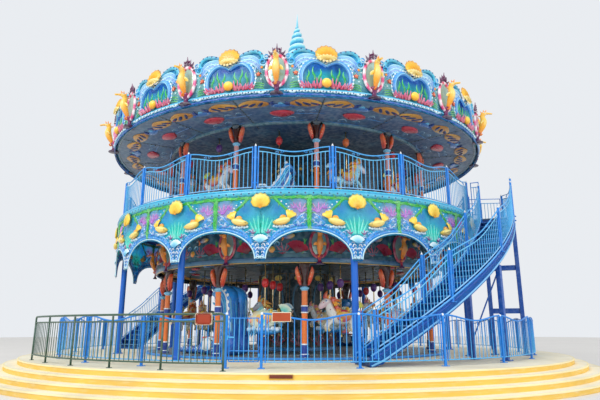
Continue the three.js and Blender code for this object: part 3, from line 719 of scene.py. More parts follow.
def level(height):
    """A rail's height that is the same at every angle."""
    return lambda angle: height


def dipping(first, last, high, dip):
    """A rail's height between two posts: highest at both and lowest midway."""
    return lambda angle: high - dip * math.sin(math.pi * (angle - first) / (last - first)) ** 2


def curved_rail(radius, first, last, height, thick, paint, pieces=10, sides=8):
    """A round rail between two angles whose height is a rule."""
    angles = np.linspace(first, last, pieces + 1)
    return tubes([[at(radius, a, height(a)) for a in angles]], [thick], paint, "steel", sides, turns=2)


def bars(paths, thick, paint, sides=6, closed=False):
    """Straight bars through points."""
    return tubes(paths, [thick] * len(paths), paint, "steel", sides, 0, closed)


def upright_bars(radius, first, last, count, foot, head, thick, paint):
    """Evenly spaced straight bars between two angles, without the two ends."""
    angles = np.linspace(first, last, count + 2)[1:-1]
    return bars([[at(radius, a, foot(a)), at(radius, a, head(a))] for a in angles], thick, paint)


def capped_post(height, half, cap="ball"):
    """A post on a bolted foot plate, with a white ball or a pointed cap."""
    foot = box(half * 5, half * 5, 0.012, 0.003, BLUE)
    shaft = box(half * 2, half * 2, height, half * 0.4, BLUE, segments=2)
    bolt = cone(0.009, 0.022, PALE_BLUE, "steel", 6, 0.008)
    corners = [shift(x * half * 1.8, y * half * 1.8, 0) for x in (-1, 1) for y in (-1, 1)]
    if cap == "ball":
        top = ball(half * 1.15, WHITE, "enamel", 10, 6).moved(shift(0, 0, height + half * 0.8))
    else:
        top = cone(half * 1.15, half * 2.4, WHITE, "enamel", 8, 0.002).moved(shift(0, 0, height))
    return joined([foot, shaft, top, bolt.moved(*corners)])


# %% Fence round the plinth
FENCE_RING = 7.4
GATE_POST, LATCH_POST = -5.5, -11.2
FENCE_PITCH = (360 + LATCH_POST - GATE_POST) / 23
FENCE_TOP = PLINTH_TOP + 1.075
fence_post = capped_post(1.05, 0.027)
bottom_rail = level(PLINTH_TOP + 0.13)
first_panel = 0
for number, panels in enumerate((6, 6, 6, 5), start=1):
    shapes = []
    for panel in range(first_panel, first_panel + panels):
        left = GATE_POST + panel * FENCE_PITCH
        right = left + FENCE_PITCH
        rail = dipping(left, right, FENCE_TOP, 0.13)
        shapes.append(curved_rail(FENCE_RING, left + 0.24, right - 0.24, rail, 0.019, BLUE))
        shapes.append(curved_rail(FENCE_RING, left, right, bottom_rail, 0.013, PALE_BLUE, 6, 6))
        head = dipping(left, right, FENCE_TOP - 0.004, 0.13)
        uprights = upright_bars(FENCE_RING, left, right, 14, bottom_rail, head, BAR, PALE_BLUE)
        shapes.append(uprights.fade("z", PALE_BLUE, BLUE, BLUE))
        ends = (left + 0.62, right - 0.62)
        stiles = [[at(FENCE_RING, a, PLINTH_TOP + 0.11), at(FENCE_RING, a, FENCE_TOP)] for a in ends]
        shapes.append(bars(stiles, 0.015, BLUE, 8))
    posts = range(0 if number == 1 else first_panel + 1, first_panel + panels + 1)
    places = [standing(FENCE_RING, GATE_POST + k * FENCE_PITCH, PLINTH_TOP) for k in posts]
    shapes.append(fence_post.moved(*places))
    if number == 1:
        frame_board = (0.39, 0.012, 0.19, 0.006, "F3E6C8", "matte")
        sign = bare_sign((0.37, 0.02, 0.17, 0.014, "A8431F"), frame_board, 0.003)
        shapes.append(sign.moved(standing(FENCE_RING + 0.03, -2.4, PLINTH_TOP + 0.92)))
    if number == 4:
        keeper = box(0.03, 0.05, 0.09, 0.004, PALE_BLUE)
        shapes.append(keeper.moved(standing(FENCE_RING, LATCH_POST + 0.2, PLINTH_TOP + 0.55)))
    piece(f"fence_run_{number}", "base", shapes, [f"fence_{number}"], "blue_steel")
    first_panel += panels

# %% Gate: a flat-topped panel between two posts, hinged on the right one
latch, hinge_post = at(FENCE_RING, LATCH_POST), at(FENCE_RING, GATE_POST)
span = hinge_post - latch
hinge_x = span.length / 2 - 0.048
gate_low, gate_high = PLINTH_TOP + 0.12, PLINTH_TOP + 1.0
right_x = hinge_x - 0.015
left_x = right_x - span.length + 0.128
xs = np.linspace(left_x, right_x, 7)[1:-1]
sides = [(left_x, gate_low), (left_x, gate_high - 0.03), (right_x, gate_high - 0.03), (right_x, gate_low)]
barrel = cone(0.0175, 0.07, PALE_BLUE, "steel", 12, 0.0175)
latch_bar = box(0.12, 0.02, 0.03, 0.005, PALE_BLUE)
gate = joined([
    bars([[(x, 0, z + 0.015) for x, z in sides]], 0.016, BLUE, 8, closed=True),
    bars([[(x, 0, gate_low), (x, 0, gate_high - 0.02)] for x in xs], 0.009, PALE_BLUE),
    bars([[(left_x, 0, gate_low + 0.22), (right_x, 0, gate_low + 0.22)]], 0.012, BLUE),
    barrel.moved(shift(hinge_x, 0, gate_low + 0.1), shift(hinge_x, 0, gate_high - 0.2)),
    latch_bar.moved(shift(left_x + 0.045, -0.018, gate_low + 0.47)),
])
gate_place = Matrix.Translation((hinge_post + latch) / 2) @ turn(math.degrees(math.atan2(span.y, span.x)))
piece("gate_leaf", "gate", [gate.moved(gate_place)], ["entrance_gate"], "blue_steel")

# %% Queue rail
QUEUE_RING = 8.08
queue_posts = [-55.6, -46.4, -37.3, -28.2, -19.1, -9.9]
first, last = queue_posts[0], queue_posts[-1]
top = PLINTH_TOP + 1.055
ends = ((0.0, -0.155), (0.0, -0.03), (0.25, 0.0))
loop = [at(QUEUE_RING, first + way, top + drop) for way, drop in ends]
loop += [at(QUEUE_RING, a, top) for a in np.linspace(first + 1.1, last - 1.1, 40)]
loop += [at(QUEUE_RING, last - way, top + drop) for way, drop in ends[::-1]]
rails = (level(top - 0.14), level(PLINTH_TOP + 0.14))
queue_shapes = [tubes([loop], [0.0225], QUEUE_GREEN, "steel", 8, 2)]
queue_shapes += [curved_rail(QUEUE_RING, first, last, rail, 0.0165, QUEUE_GREEN, 40) for rail in rails]
foot_plate = cone(0.06, 0.012, QUEUE_GREEN, "steel", 16, 0.055)
queue_post = joined([foot_plate, cone(0.022, 1.03, QUEUE_GREEN, "steel", 12, 0.022)])
queue_shapes.append(queue_post.moved(*[standing(QUEUE_RING, a, PLINTH_TOP) for a in queue_posts]))
for left, right in zip(queue_posts, queue_posts[1:]):
    queue_shapes.append(upright_bars(QUEUE_RING, left, right, 9, rails[1], rails[0], 0.009, QUEUE_GREEN))
sign = bare_sign((0.31, 0.02, 0.2, 0.03, "9C3416"), (0.34, 0.012, 0.23, 0.03, "F0E2C6", "matte", 2), 0.003)
queue_shapes.append(sign.moved(standing(QUEUE_RING + 0.03, -12.8, PLINTH_TOP + 0.86)))
piece("queue_railing", "base", queue_shapes, ["queue_rail"], "green_steel")

# %% [markdown]
# ## Small ornaments that both boards share
# Waves curl, seaweed twists and corals branch all over the boards. Each is a stroke, a tapering tube squashed
# towards the board, so that the light rolls over it as over carved foam. The scallop shell is a grid pulled
# round its hinge, with a rib wherever the rule lifts it.

# %% Paints of the sea
SEA_DARK = "0C62C0"
SEA = "1892E4"
SEA_BRIGHT = "22B8F4"
FOAM = "F2FCFF"
LEAF = "1DB04A"
NAVY = "142C6E"
PLUM = "6A1C6C"


# %% Curls, corals, weed and shells
def curl(reach, turns=1.2, thick=0.18, paints=(SEA_DARK, SEA, FOAM), flat=0.8, sides=4):
    """A wave's curl: a spiral that thins as it winds in, with foam on its upper side."""
    shares = np.linspace(0, 1, max(7, round(turns * 9)))
    angles, reaches = math.tau * turns * shares, reach * (1 - 0.8 * shares)
    points = np.stack([reaches * np.cos(angles), reaches * np.sin(angles)], axis=1)
    return stroke(points, reach * thick * (1.15 - 0.7 * shares), "FFFFFF", flat, sides, 1).fade("z", *paints)


def strands(points, count, swing, thick, waves, paints):
    """Several strokes that wind round one path, as twisted seaweed does."""
    share = np.linspace(0, 1, max(6, int(waves * 5)))
    x, z = sampled(points, share).T
    along = np.array((x[-1] - x[0], z[-1] - z[0])) / math.hypot(x[-1] - x[0], z[-1] - z[0])
    made = []
    for number in range(count):
        phase = math.tau * number / count
        side = swing * np.sin(math.tau * waves * share + phase)
        line = np.stack([x - along[1] * side, z + along[0] * side], axis=1)
        strand = stroke(line, thick * (1 - 0.35 * share), flat=0.8, turns=1)
        strand.points[:, 1] -= 0.3 * thick * math.cos(phase)
        made.append(strand.fade("y", *paints))
    return joined(made)


def branching(height, spread, stems, thick, paints):
    """A clump of antler coral: stems that fan out, each with a side branch."""
    made = []
    for number in range(stems):
        side = (number / (stems - 1)) * 2 - 1
        angle = math.radians(spread * side)
        tall = height * (1 - 0.25 * abs(side))
        up = np.array([math.sin(angle), math.cos(angle)]) * tall
        mid = 0.5 * up
        radii = [thick, thick * 0.8, thick * 0.35]
        path = [(0.25 * mid[0], 0), mid, up + (0.18 * height * side, 0)]
        made.append(stroke(path, radii, flat=0.8, turns=1))
        out = angle + math.radians(38 if side >= 0 else -38)
        twig = mid + 0.32 * tall * np.array([math.sin(out), math.cos(out)])
        made.append(stroke([mid, twig], [thick * 0.7, thick * 0.3], flat=0.8, turns=0))
    return joined(made).fade("z", *paints)


def scallop(width, height, ribs, dome, paints, wall=0.0):
    """A round scallop shell that opens upwards from a hinge at the origin."""

    def rule(u, v):
        t = (v + 1) / 2
        angle = math.radians(84) * u
        rib = abs(math.cos(math.pi * ribs * u / 2))
        reach = t * height * max(0.02, math.cos(angle)) ** 0.55 * (1 + 0.06 * rib * t)
        lift = dome * math.sqrt(max(0.0, 1 - (1.9 * t - 0.95) ** 2)) * (0.72 + 0.28 * rib) + 0.12 * dome
        return (reach * math.sin(angle) * width / (1.06 * height), -lift, reach * math.cos(angle))

    made = pulled(ribs * 2, 7, rule, wall=wall)
    reach = np.hypot(made.points[:, 0] * height / width * 1.06, made.points[:, 2]) / height
    made.paint = blended(np.clip(reach, 0, 1), paints)
    # The last paint goes on the shell's proudest ribs as a painted highlight.
    return made.crest(paints[-1], 0.35, 3)


def dots(places, radius, paint, proud=0.0, squash=0.6):
    """Small domes on the board, each a square grid pulled into half a ball."""

    def rule(u, v):
        x, z = u * math.sqrt(1 - v * v / 2), v * math.sqrt(1 - u * u / 2)
        lift = math.sqrt(max(0.0, 1 - x * x - z * z))
        return (radius * x, -radius * squash * lift, radius * z)

    grid = 3 if radius < 0.03 else 4
    return pulled(grid, grid, rule, paint).moved(*[shift(x, -proud, z) for x, z in places])


def relief(points, height, soft, paint="FFFFFF", steps=3):
    """A puffed form with a smooth outline through rough points."""
    return puffed(rounded(points, steps), height, soft, paint)


def clouded(sheet, half_bay, clouds):
    """Sprays clouds (paint, x, z, width, height, strength) on a sheet, alike in each half bay."""
    sheet.points[:, 1] -= sheet.points[:, 1].min()
    x, y, z = sheet.points.T
    x = np.abs((x / (2 * half_bay) + 0.5) % 1 - 0.5) * 2 * half_bay
    for paint, middle, height, wide, tall, strength in clouds:
        sheet.tip(paint, strength - np.hypot((x - middle) / wide, (z - height) / tall))


# %% [markdown]
# ## Boards of the gallery
# Sixteen arched bays hang round the gallery. Each arch rises to 3.58 m between two pendants that end at
# 2.88 m. A bay is the same either side of its pendant, so one half is modelled on the bench, mirrored, and
# bent round the drum. The sheet behind the ornaments is a grid whose lower edge follows the arch, and the
# soft changes of blue on it are sprayed paint.

# %% Measures of the gallery boards
BAY = 22.5
FIRST_PENDANT = -8.4
BAND_RING = 6.0
HALF_BAY = BAND_RING * math.radians(BAY / 2)
PENDANT_LOW, GALLERY_TOP = levels("rounding_board_1")
ARCH_RISE = 0.7
PENDANT_HALF = BAND_RING * math.radians(1.2)
ARCH_HALF = HALF_BAY - PENDANT_HALF


def arch_point(share):
    """A point on the arch, from the pendant's edge at 0 to the apex at 1."""
    angle = share * math.pi / 2
    return (HALF_BAY - ARCH_HALF * math.cos(angle), PENDANT_LOW + ARCH_RISE * math.sin(angle))


# %% Sheet behind the ornaments of one quarter, and the trim along its top
def band_rule(u, v):
    """A point of the sheet: four bays side by side, each with its lower edge on the arch."""
    bays = (u + 1) * 2
    bay = min(3, int(bays))
    within = bays - bay
    across = min(within, 1 - within) * 2
    if across < 0.1:
        x, low = PENDANT_HALF * across / 0.1, PENDANT_LOW
    else:
        x, low = arch_point((across - 0.1) / 0.9)
    x = bay * 2 * HALF_BAY + x if within < 0.5 else (bay + 1) * 2 * HALF_BAY - x
    return (x, 0.0, low + (GALLERY_TOP - low) * (v + 1) / 2)


band_sheet = pulled(160, 11, band_rule, wall=0.05)
band_sheet.fade("z", "0A98E4", "10AEEE", "1CC2F4", "2CD0F0", "22C0E2")
clouded(band_sheet, HALF_BAY, (
    ("54D6FF", 0, 4.0, 0.42, 0.34, 1.5), ("3CF2DC", 0, 3.66, 0.34, 0.24, 1.4),
    ("4AA8FA", 0.42, 4.12, 0.24, 0.2, 1.0),
    ("C3C4FA", 0.93, 4.08, 0.26, 0.24, 1.4), ("6FD4FA", 0.95, 3.75, 0.22, 0.14, 1.0),
))
trim_low, trim_high = GALLERY_TOP - 0.15, GALLERY_TOP + 0.02
SCALLOPS = 12


def trim_rule(u, v):
    drop = 0.035 * abs(math.sin(math.pi * SCALLOPS * (u + 1) * 2))
    low = trim_low + 0.035 - drop
    bulge = 0.05 * math.sqrt(max(0.0, 1 - v**6))
    return ((u + 1) * 4 * HALF_BAY, -bulge, low + (trim_high - low) * (v + 1) / 2)


trim = pulled(SCALLOPS * 4 * 4, 4, trim_rule).fade("z", "1284BC", "52C4DC", "38ACD4", "2296CC")
# A cyan tube along the top edge of the trim is a painted highlight line.
trim_highlight_line = tubes([[(HALF_BAY * k, -0.02, trim_high) for k in range(9)]], [0.02], "38C8F4", turns=4)
print("trim from", round(trim_low, 3), "to", round(trim_high, 3))

# %% Piping of the arch, with dots, and the dots of the trim
shares = np.linspace(0, 1, 12)
arch_line = [arch_point(s) for s in shares]
inner_line = [(x - 0.045 * (1 - s) ** 0.5, z + 0.05) for (x, z), s in zip(arch_line, shares)]
piping = stroke(arch_line, 0.018, "BFEAF8")
ribbon = stroke(inner_line, 0.03, "1890E8", 0.45)
ribbon_dots = dots(inner_line[1::2], 0.014, "A8E4FA", 0.014)
trim_dots = dots([(HALF_BAY * (k + 0.5) / 6, trim_low + 0.075) for k in range(6)], 0.021, NAVY, 0.05)

# %% Seaweed: the stem over each apex, the garland and its drooping branch
WEED = ("40C24A", "0E9C3E", "0A7034")
stem = strands([(HALF_BAY, 4.42), (HALF_BAY, 3.6)], 4, 0.055, 0.034, 2.2, WEED)
garland_line = [(HALF_BAY - 0.02, 4.36), (0.95, 4.385), (0.6, 4.36), (0.36, 4.385), (0.16, 4.35)]
garland = strands(garland_line, 3, 0.034, 0.027, 3.2, WEED)
branch = strands([(0.33, 4.36), (0.48, 4.2), (0.66, 4.03)], 3, 0.03, 0.024, 1.8, WEED)
weed_leaf = stroke([(0, 0), (0.04, 0.03), (0.1, 0.02)], [0.012, 0.024, 0.004], LEAF, 0.6, turns=1)
weed_leaf.fade("x", "0A6A36", "86E25A")
weed = [garland, branch, weed_leaf.moved(*[leaning(x, z, angle, y=-0.03) for x, z, angle in (
    (1.07, 4.33, 40), (0.86, 4.4, -20), (0.72, 4.34, 60), (0.52, 4.38, -30), (0.42, 4.24, 90),
    (0.56, 4.12, 20),
    (1.12, 4.2, 150), (1.12, 3.98, 200), (1.12, 3.8, 140),
)])]

# %% A yellow fish, its head towards the pendant and its tail up
fish_body = [(0.3, 3.745), (0.4, 3.82), (0.54, 3.86), (0.68, 3.86), (0.72, 3.8), (0.64, 3.72), (0.5, 3.68)]
fish_fin = [(0.46, 3.84), (0.50, 3.93), (0.60, 3.92), (0.62, 3.85)]
body = relief(fish_body + [(0.37, 3.69)], 0.12, 0.045).fade("z", "F7A51C", "FFD93F", "FFE978")
tail = fan(0.24, 36, 3, 0.06, ("F7A51C", "FFC52B", "FFE05A", "FFCF3A"), scallop=0.12)
mouth = stroke([(0.31, 3.735), (0.35, 3.72), (0.39, 3.725)], [0.008, 0.012, 0.006], "D81E4A", turns=3)
fish = joined([
    # Pale yellow on the body's proudest part is a painted highlight.
    body.crest("FFF3A6", 0.5),
    tail.moved(leaning(0.66, 3.8, 24, y=-0.01)),
    relief(fish_fin, 0.05, 0.015, steps=2).fade("z", "FFC52B", "F58A1C"),
    mouth.moved(shift(0, -0.06, 0)),
    dots([(0.385, 3.785)], 0.022, FOAM, 0.085),
    dots([(0.38, 3.787)], 0.011, NAVY, 0.1),
    dots([(0.50, 3.78), (0.57, 3.76), (0.55, 3.8)], 0.013, "F2602A", 0.105),
])

# %% Foam, curling waves and coral of the half bay
# The foam domes are pale blue at their foot and white on top: painted shade.
foam = dots([(0.33 + 0.065 * k, 3.655 - 0.012 * (k % 2)) for k in range(6)], 0.034, FOAM, 0.02)
foam.fade("z", "9BD8F5", FOAM)
white_dots = dots([(0.62, 4.2), (0.68, 4.13), (0.7, 4.06), (0.5, 4.27)], 0.019, FOAM, 0.01)
waves = [curl(0.1).moved(*[leaning(x, z, -angle, scale) for x, z, scale, angle in (
    (0.98, 3.80, 1.1, 20), (1.06, 3.90, 0.7, 80), (0.86, 3.72, 0.9, -20), (1.03, 3.69, -0.8, 10),
    (0.76, 3.64, 0.75, 10), (0.60, 3.57, 0.8, 30), (0.47, 3.50, -0.85, 40), (0.36, 3.38, 0.75, 50),
    (0.27, 3.52, -0.8, 20), (0.44, 3.62, 0.6, 0), (0.30, 3.28, -0.55, 60), (0.92, 3.89, -0.6, 40),
    (0.68, 3.6, -0.6, -20), (0.53, 3.54, -0.55, 60), (0.93, 3.66, 0.6, 30), (0.4, 3.45, 0.5, 10),
    (1.1, 3.78, -0.6, 30), (0.2, 3.42, 0.6, 30),
)])]
small_places = []
for share in 0.1 + 0.13 * np.arange(7):
    x, z = arch_point(share)
    small_places.append(leaning(x - 0.09, z + 0.12, -40 + 60 * share, y=-0.005))
waves.append(curl(0.065, 1.0, 0.2).moved(*small_places))
swell = [stroke(points, radii, paint, flat) for points, radii, paint, flat in (
    ([(0.80, 3.66), (0.92, 3.70), (1.05, 3.66)], [0.01, 0.03, 0.012], SEA_DARK, 0.6),
    ([(0.78, 3.74), (0.88, 3.80), (0.97, 3.92), (1.08, 3.96)], [0.012, 0.035, 0.03, 0.01], SEA, 0.6),
    ([(0.80, 3.77), (0.90, 3.84), (0.98, 3.95), (1.07, 3.985)], [0.004, 0.012, 0.012, 0.004], FOAM, 1.0),
    ([(0.20, 3.30), (0.34, 3.47), (0.55, 3.60), (0.80, 3.665)], [0.02, 0.034, 0.034, 0.02], SEA, 0.5),
    ([(0.22, 3.33), (0.35, 3.50), (0.55, 3.63), (0.78, 3.69)], [0.006, 0.011, 0.011, 0.006], "3FD8E0", 1.0),
)]
lilac_coral = branching(0.27, 38, 4, 0.021, ("9A5AD0", "C866C8", "F08AD8"))
antler = lilac_coral.moved(leaning(0.97, 4.0, 12, y=-0.005), leaning(0.83, 4.1, -30, 0.6, -0.005))
sprig = branching(0.12, 45, 3, 0.016, (PLUM, "8C2A8C", "C65AB4")).moved(shift(0.18, -0.01, 3.49))

# %% Pendant: rays, a ribbed fan and rows of curls down to the tip
rays = []
for k in range(3):
    ray = [(0.04 + 0.05 * k, 3.5), (0.07 + 0.11 * k, 3.92 - 0.05 * k)]
    rays.append(stroke(ray, [0.034, 0.012], "4AE0CC", 0.25, turns=0))
pendant_fan = fan(0.22, 58, 7, 0.055, ("4FB4F0", "8FDCF8", "E8FBFF")).moved(shift(0, -0.01, 3.24))
rows = curl(0.05, 0.9, 0.22, (SEA_DARK, FOAM, FOAM)).moved(*[leaning(x, z, 25, s, -0.012) for x, z, s in (
    (0.065, 3.2, 1.2), (0.17, 3.22, 0.9), (0.06, 3.11, 1.1), (0.145, 3.12, 0.7), (0.055, 3.025, 1.0),
    (0.05, 2.955, 0.8),
)])
tip = relief([(0, 2.885), (0.1, 2.885), (0.11, 2.92), (0.06, 2.945), (0, 2.95)], 0.04, 0.01, "BCE6F6", 2)
tip_dots = dots([(0.05, 2.91)], 0.014, NAVY, 0.04)

# %% The whole half bay, and the sun shell at its middle
small_parts = [piping, ribbon, ribbon_dots, trim_dots, fish, foam, white_dots, antler, sprig, tip, tip_dots]
half_band = joined(small_parts + weed + waves + swell + rays + [rows])
sun = scallop(0.4, 0.35, 9, 0.075, ("F7A41A", "FFC92E", "FFD53A", "FFEE7A"), wall=0.015)
sun_middle = dots([(0.0, 4.13)], 0.04, "F7A41A", 0.08)
band_middle = joined([sun.moved(shift(0, -0.045, 4.12)), sun_middle, pendant_fan])
print("half a bay:", half_band.triangles(), "triangles")

# %% Four quarter boards
for quarter in range(4):
    first = FIRST_PENDANT + quarter * 90
    shapes = [wrapped(s, BAND_RING, first) for s in (band_sheet, trim, trim_highlight_line)]
    for bay in range(5):
        angle = first + bay * BAY
        if bay < 4:
            shapes += [wrapped(s, BAND_RING, angle) for s in (half_band, band_middle, stem)]
        if bay > 0:
            shapes.append(wrapped(half_band.moved(MIRROR), BAND_RING, angle))
    board = f"rounding_board_{quarter + 1}"
    piece(f"gallery_board_{quarter + 1}", "base", shapes, [board], "aqua_fibreglass")

# %% [markdown]
# ## Gallery frame
# Eight round posts carry a ring of floor that stands still round the turning decks. The floor is chequer
# plate between a kerb and radial joists. Posts are turned profiles, because they are round all the way.

# %% Gallery posts and floor
floor_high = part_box("gallery_frame")[1].z
floor_low = floor_high - 0.11
POST_RING, POST_RADIUS = 5.75, 0.085
tall = floor_low - PLINTH_TOP
post_foot = [(0.15, 0), (0.15, 0.02), (0.1, 0.03), (0.1, 0.09), (POST_RADIUS, 0.11)]
post_head = [(POST_RADIUS, 0.3), (0.1, 0.28), (0.1, 0.22), (POST_RADIUS, 0.2), (POST_RADIUS, 0.03)]
post_head += [(0.14, 0.02), (0.14, 0), (0, 0)]
post_profile = post_foot + [(r, tall - drop) for r, drop in post_head]
gallery_post = turned(post_profile, 24, finish="steel", lift=PLINTH_TOP)
gallery_post.fade("z", "125EC4", "2080E8", "156AD0")
bolt = cone(0.012, 0.035, PALE_BLUE, "steel", 6, 0.01)
bolt_places = [turn(60 * k) @ shift(0.125, 0, PLINTH_TOP) for k in range(6)]
gallery_post = joined([gallery_post, bolt.moved(*bolt_places)])
knee = box(0.03, 0.34, 0.03, 0.004, DEEP_BLUE).moved(shift(0, -0.1, floor_low - 0.2) @ turn(42, "X"))
knee = knee.moved(shift(0, 0.1, 0), turn(180) @ shift(0, 0.1, 0))
joist = box(0.05, 1.08, 0.05, 0.004, "1D55B4").moved(shift(0, -5.355, floor_low - 0.005))
post_places = ring(POST_RING, FIRST_PENDANT + BAY, 8)
shapes = [gallery_post.moved(*post_places), knee.moved(*post_places)]
shapes += [turned(profile, steps, paint, finish, lift=floor_low) for profile, steps, paint, finish in (
    ([(5.91, 0), (5.925, 0), (5.925, 0.1), (5.915, 0.11), (5.86, 0.11)], 128, DEEP_BLUE, "steel"),
    ([(5.86, 0.11), (4.84, 0.11)], 128, "8FA6B4", "deck"),
    ([(4.84, 0.11), (4.8, 0.11), (4.8, 0)], 128, "D8E4EA", "steel"),
    ([(4.8, 0.03), (5.91, 0.03)], 96, "1B4C9C", "matte"),
    ([(5.91, 0.03), (5.91, 0)], 96, "1B4C9C", "steel"),
)]
shapes.append(joist.moved(*ring(0, FIRST_PENDANT, 32)))
piece("gallery_posts_and_floor", "base", shapes, ["gallery_frame"], "deep_blue_steel")

# %% [markdown]
# ## Gallery railing
# Nineteen panels of 18.9 degrees would go all the way round; two stairs take the place of two of them. In
# each panel two rails run close together in a wave that is lowest midway, with two small scrolls between
# them. The panels are frames of their own, so a gap is left on both sides of each post.

# %% One framed panel
scroll = curl(0.05, 1.1, 0.16, (BLUE, "3FA4F2", PALE_BLUE), 1.0)
scroll = joined([scroll.moved(shift(0.06, 0, 0)), scroll.moved(MIRROR @ shift(0.06, 0, 0))])


def framed_panel(radius, first, last, top, low, count, gap=0.12, inset=0.075):
    """A panel between two posts: two rails that follow a wave, end stiles, bars, scrolls and stubs."""
    edge = math.degrees(inset / radius)
    left, right = first + edge, last - edge

    def second(angle):
        return top(angle) - gap

    ends = [[at(radius, a, low(a) - 0.015), at(radius, a, top(a) + 0.015)] for a in (left, right)]
    stubs = [
        [at(radius, post, height), at(radius, stile, height)]
        for post, stile in ((first, left), (last, right))
        for height in (low(stile) + 0.12, top(stile) - 0.28)
    ]
    middles = [left + share * (right - left) for share in (0.3, 0.7)]
    return joined([
        curved_rail(radius, left, right, top, 0.017, "46AAEE", 14, 6),
        curved_rail(radius, left, right, second, 0.014, "66C2F2", 14, 6),
        curved_rail(radius, left, right, low, 0.016, "8CC8F6", 12, 6),
        upright_bars(radius, left, right, count, low, second, BAR, PALE_BLUE),
        bars(ends, 0.019, BLUE, 8),
        bars(stubs, 0.013, BLUE),
        scroll.moved(*[standing(radius, a, top(a) - gap / 2) for a in middles]),
    ])


# %% Gallery railings
RAIL_RING, RAIL_PITCH, RAIL_START = 5.9, 360 / 19, 84.53
RAIL_FOOT = level(GALLERY_TOP + 0.12)
gallery_rail_post = capped_post(1.2, 0.03, "spike")
runs = ((RAIL_START, 0, 5), (RAIL_START + 6 * RAIL_PITCH, 0, 6), (RAIL_START + 6 * RAIL_PITCH, 6, 12))
for number, (start, first, last) in enumerate(runs, start=1):
    shapes = []
    for panel in range(first, last):
        left = start + panel * RAIL_PITCH
        right = left + RAIL_PITCH
        wave = dipping(left, right, GALLERY_TOP + 1.18, 0.16)
        shapes.append(framed_panel(RAIL_RING, left, right, wave, RAIL_FOOT, 15))
    posts = range(first if number < 3 else first + 1, last + 1)
    places = [standing(RAIL_RING, start + k * RAIL_PITCH, GALLERY_TOP) for k in posts]
    shapes.append(gallery_rail_post.moved(*places))
    piece(f"gallery_railing_{number}", "base", shapes, [f"gallery_rail_{number}"], "blue_steel")

# %% [markdown]
# ## Stairs
# A flight of 24 risers winds up round the carousel on each side. Treads, risers and the soffit are slabs
# whose corners a rule sends to an angle and a radius; the stringers are the same kind of grid with their
# height from the line of the nosings. The second stair is the first one reflected.

# %% Measures of the stair
RISERS = 24
STEP_UP = (GALLERY_TOP - PLINTH_TOP) / RISERS
STAIR_FOOT = 12.0
STAIR_HEAD = RAIL_START - RAIL_PITCH
GOING = (STAIR_HEAD - STAIR_FOOT) / (RISERS - 1)
STAIR_INNER, STAIR_OUTER = 6.24, 7.22
TREADS = (6.27, 7.19)
STRINGER_END = STAIR_HEAD - 0.05
POST_TREADS = (0, 7, 15, 22)
STAIR_POSTS = [STAIR_FOOT + (k + 0.5) * GOING for k in POST_TREADS]
BELOW = 0.235
STRUT, FLANGE, FACE, UNDER = "1052AC", "166AC8", "1274D2", "1B4C9C"
LINE_LIGHT, LINE = "7CC4F6", "4FA8F2"


def nosing(angle):
    """Height of the line through the front edges of the treads."""
    return PLINTH_TOP + STEP_UP * (1 + (angle - STAIR_FOOT) / GOING)


def along(lift, clear=-1.0):
    """A height that follows the nosings at a lift and stays clear of the plinth."""
    return lambda angle: max(PLINTH_TOP + clear, nosing(angle) + lift)


def between(ends, way):
    """The value between two ends, for a way from -1 to 1."""
    return ends[0] + (ends[1] - ends[0]) * (way + 1) / 2


def slab(radii, angles, height, wall, paint, finish="steel", steps=1):
    """A flat or sloping plate between two radii and two angles; height is a rule of the angle."""

    def rule(u, v):
        angle = between(angles, u)
        return at(between(radii, v), angle, height(angle))

    return pulled(steps, 1, rule, paint, finish, wall)


def plate(radius, angles, low, high, wall, steps=24):
    """An upright plate on a circle between two rules of the angle."""

    def rule(u, v):
        angle = between(angles, u)
        return at(radius, angle, between((low(angle), high(angle)), v))

    made = pulled(steps, 2, rule, FACE, "steel", wall)
    made.smooth[:] = False
    return made


def square_leg(radius, angle, head):
    """A square post with a foot plate and its nuts."""
    nut = cone(0.012, 0.03, PALE_BLUE, "steel", 6, 0.01)
    leg = joined([
        box(0.12, 0.12, head - PLINTH_TOP, 0.008, STRUT),
        box(0.24, 0.24, 0.018, 0.004, STRUT),
        nut.moved(*[shift(x, y, 0.01) for x in (-0.096, 0.096) for y in (-0.096, 0.096)]),
    ])
    return leg.moved(standing(radius, angle, PLINTH_TOP))


def crossbeam(angle, inner, outer, low, high):
    """A beam along a radius, with a lighter flange along its top and bottom."""
    web = box(0.07, outer - inner, high - low, 0.006, STRUT).moved(shift(0, 0, low))
    flange = box(0.1, outer - inner, 0.015, 0.003, FLANGE)
    beam = joined([web, flange.moved(shift(0, 0, low), shift(0, 0, high - 0.015))])
    return beam.moved(standing((inner + outer) / 2, angle))


# %% Flight: treads, risers, soffit and stringers
flight = []
for step in range(RISERS - 1):
    left = STAIR_FOOT + step * GOING
    height = PLINTH_TOP + (step + 1) * STEP_UP

    def riser(u, v):
        return at(6.73 + 0.46 * u, left, height - 0.03 - STEP_UP * (1 - v) / 2)

    flight.append(slab(TREADS, (left - 0.12, left + GOING), level(height), 0.03, "2F6CB0", "deck"))
    flight.append(slab(TREADS, (left - 0.16, left - 0.02), level(height + 0.004), 0.012, "5CA4E0"))
    flight.append(pulled(1, 1, riser, "1A76D4", "steel", 0.008))
soffit = along(-STEP_UP - 0.1, 0.01)
flight.append(slab(TREADS, (STAIR_FOOT + 2.2, STRINGER_END), soffit, 0.01, "1468CA", steps=30))
for radius in (STAIR_INNER + 0.012, STAIR_OUTER - 0.012):
    angles = (STAIR_FOOT, STRINGER_END)
    flight.append(plate(radius, angles, along(-BELOW, 0.002), along(0.03), 0.02, 30))
    lines = ((-BELOW + 0.02, 0.022, LINE_LIGHT), (0.035, 0.02, LINE), (-0.06, 0.012, "1650B4"))
    for lift, thick, paint in lines:
        line = along(lift, 0.025)
        flight.append(curved_rail(radius, STAIR_FOOT + 0.3, STRINGER_END, line, thick, paint, 30, 6))

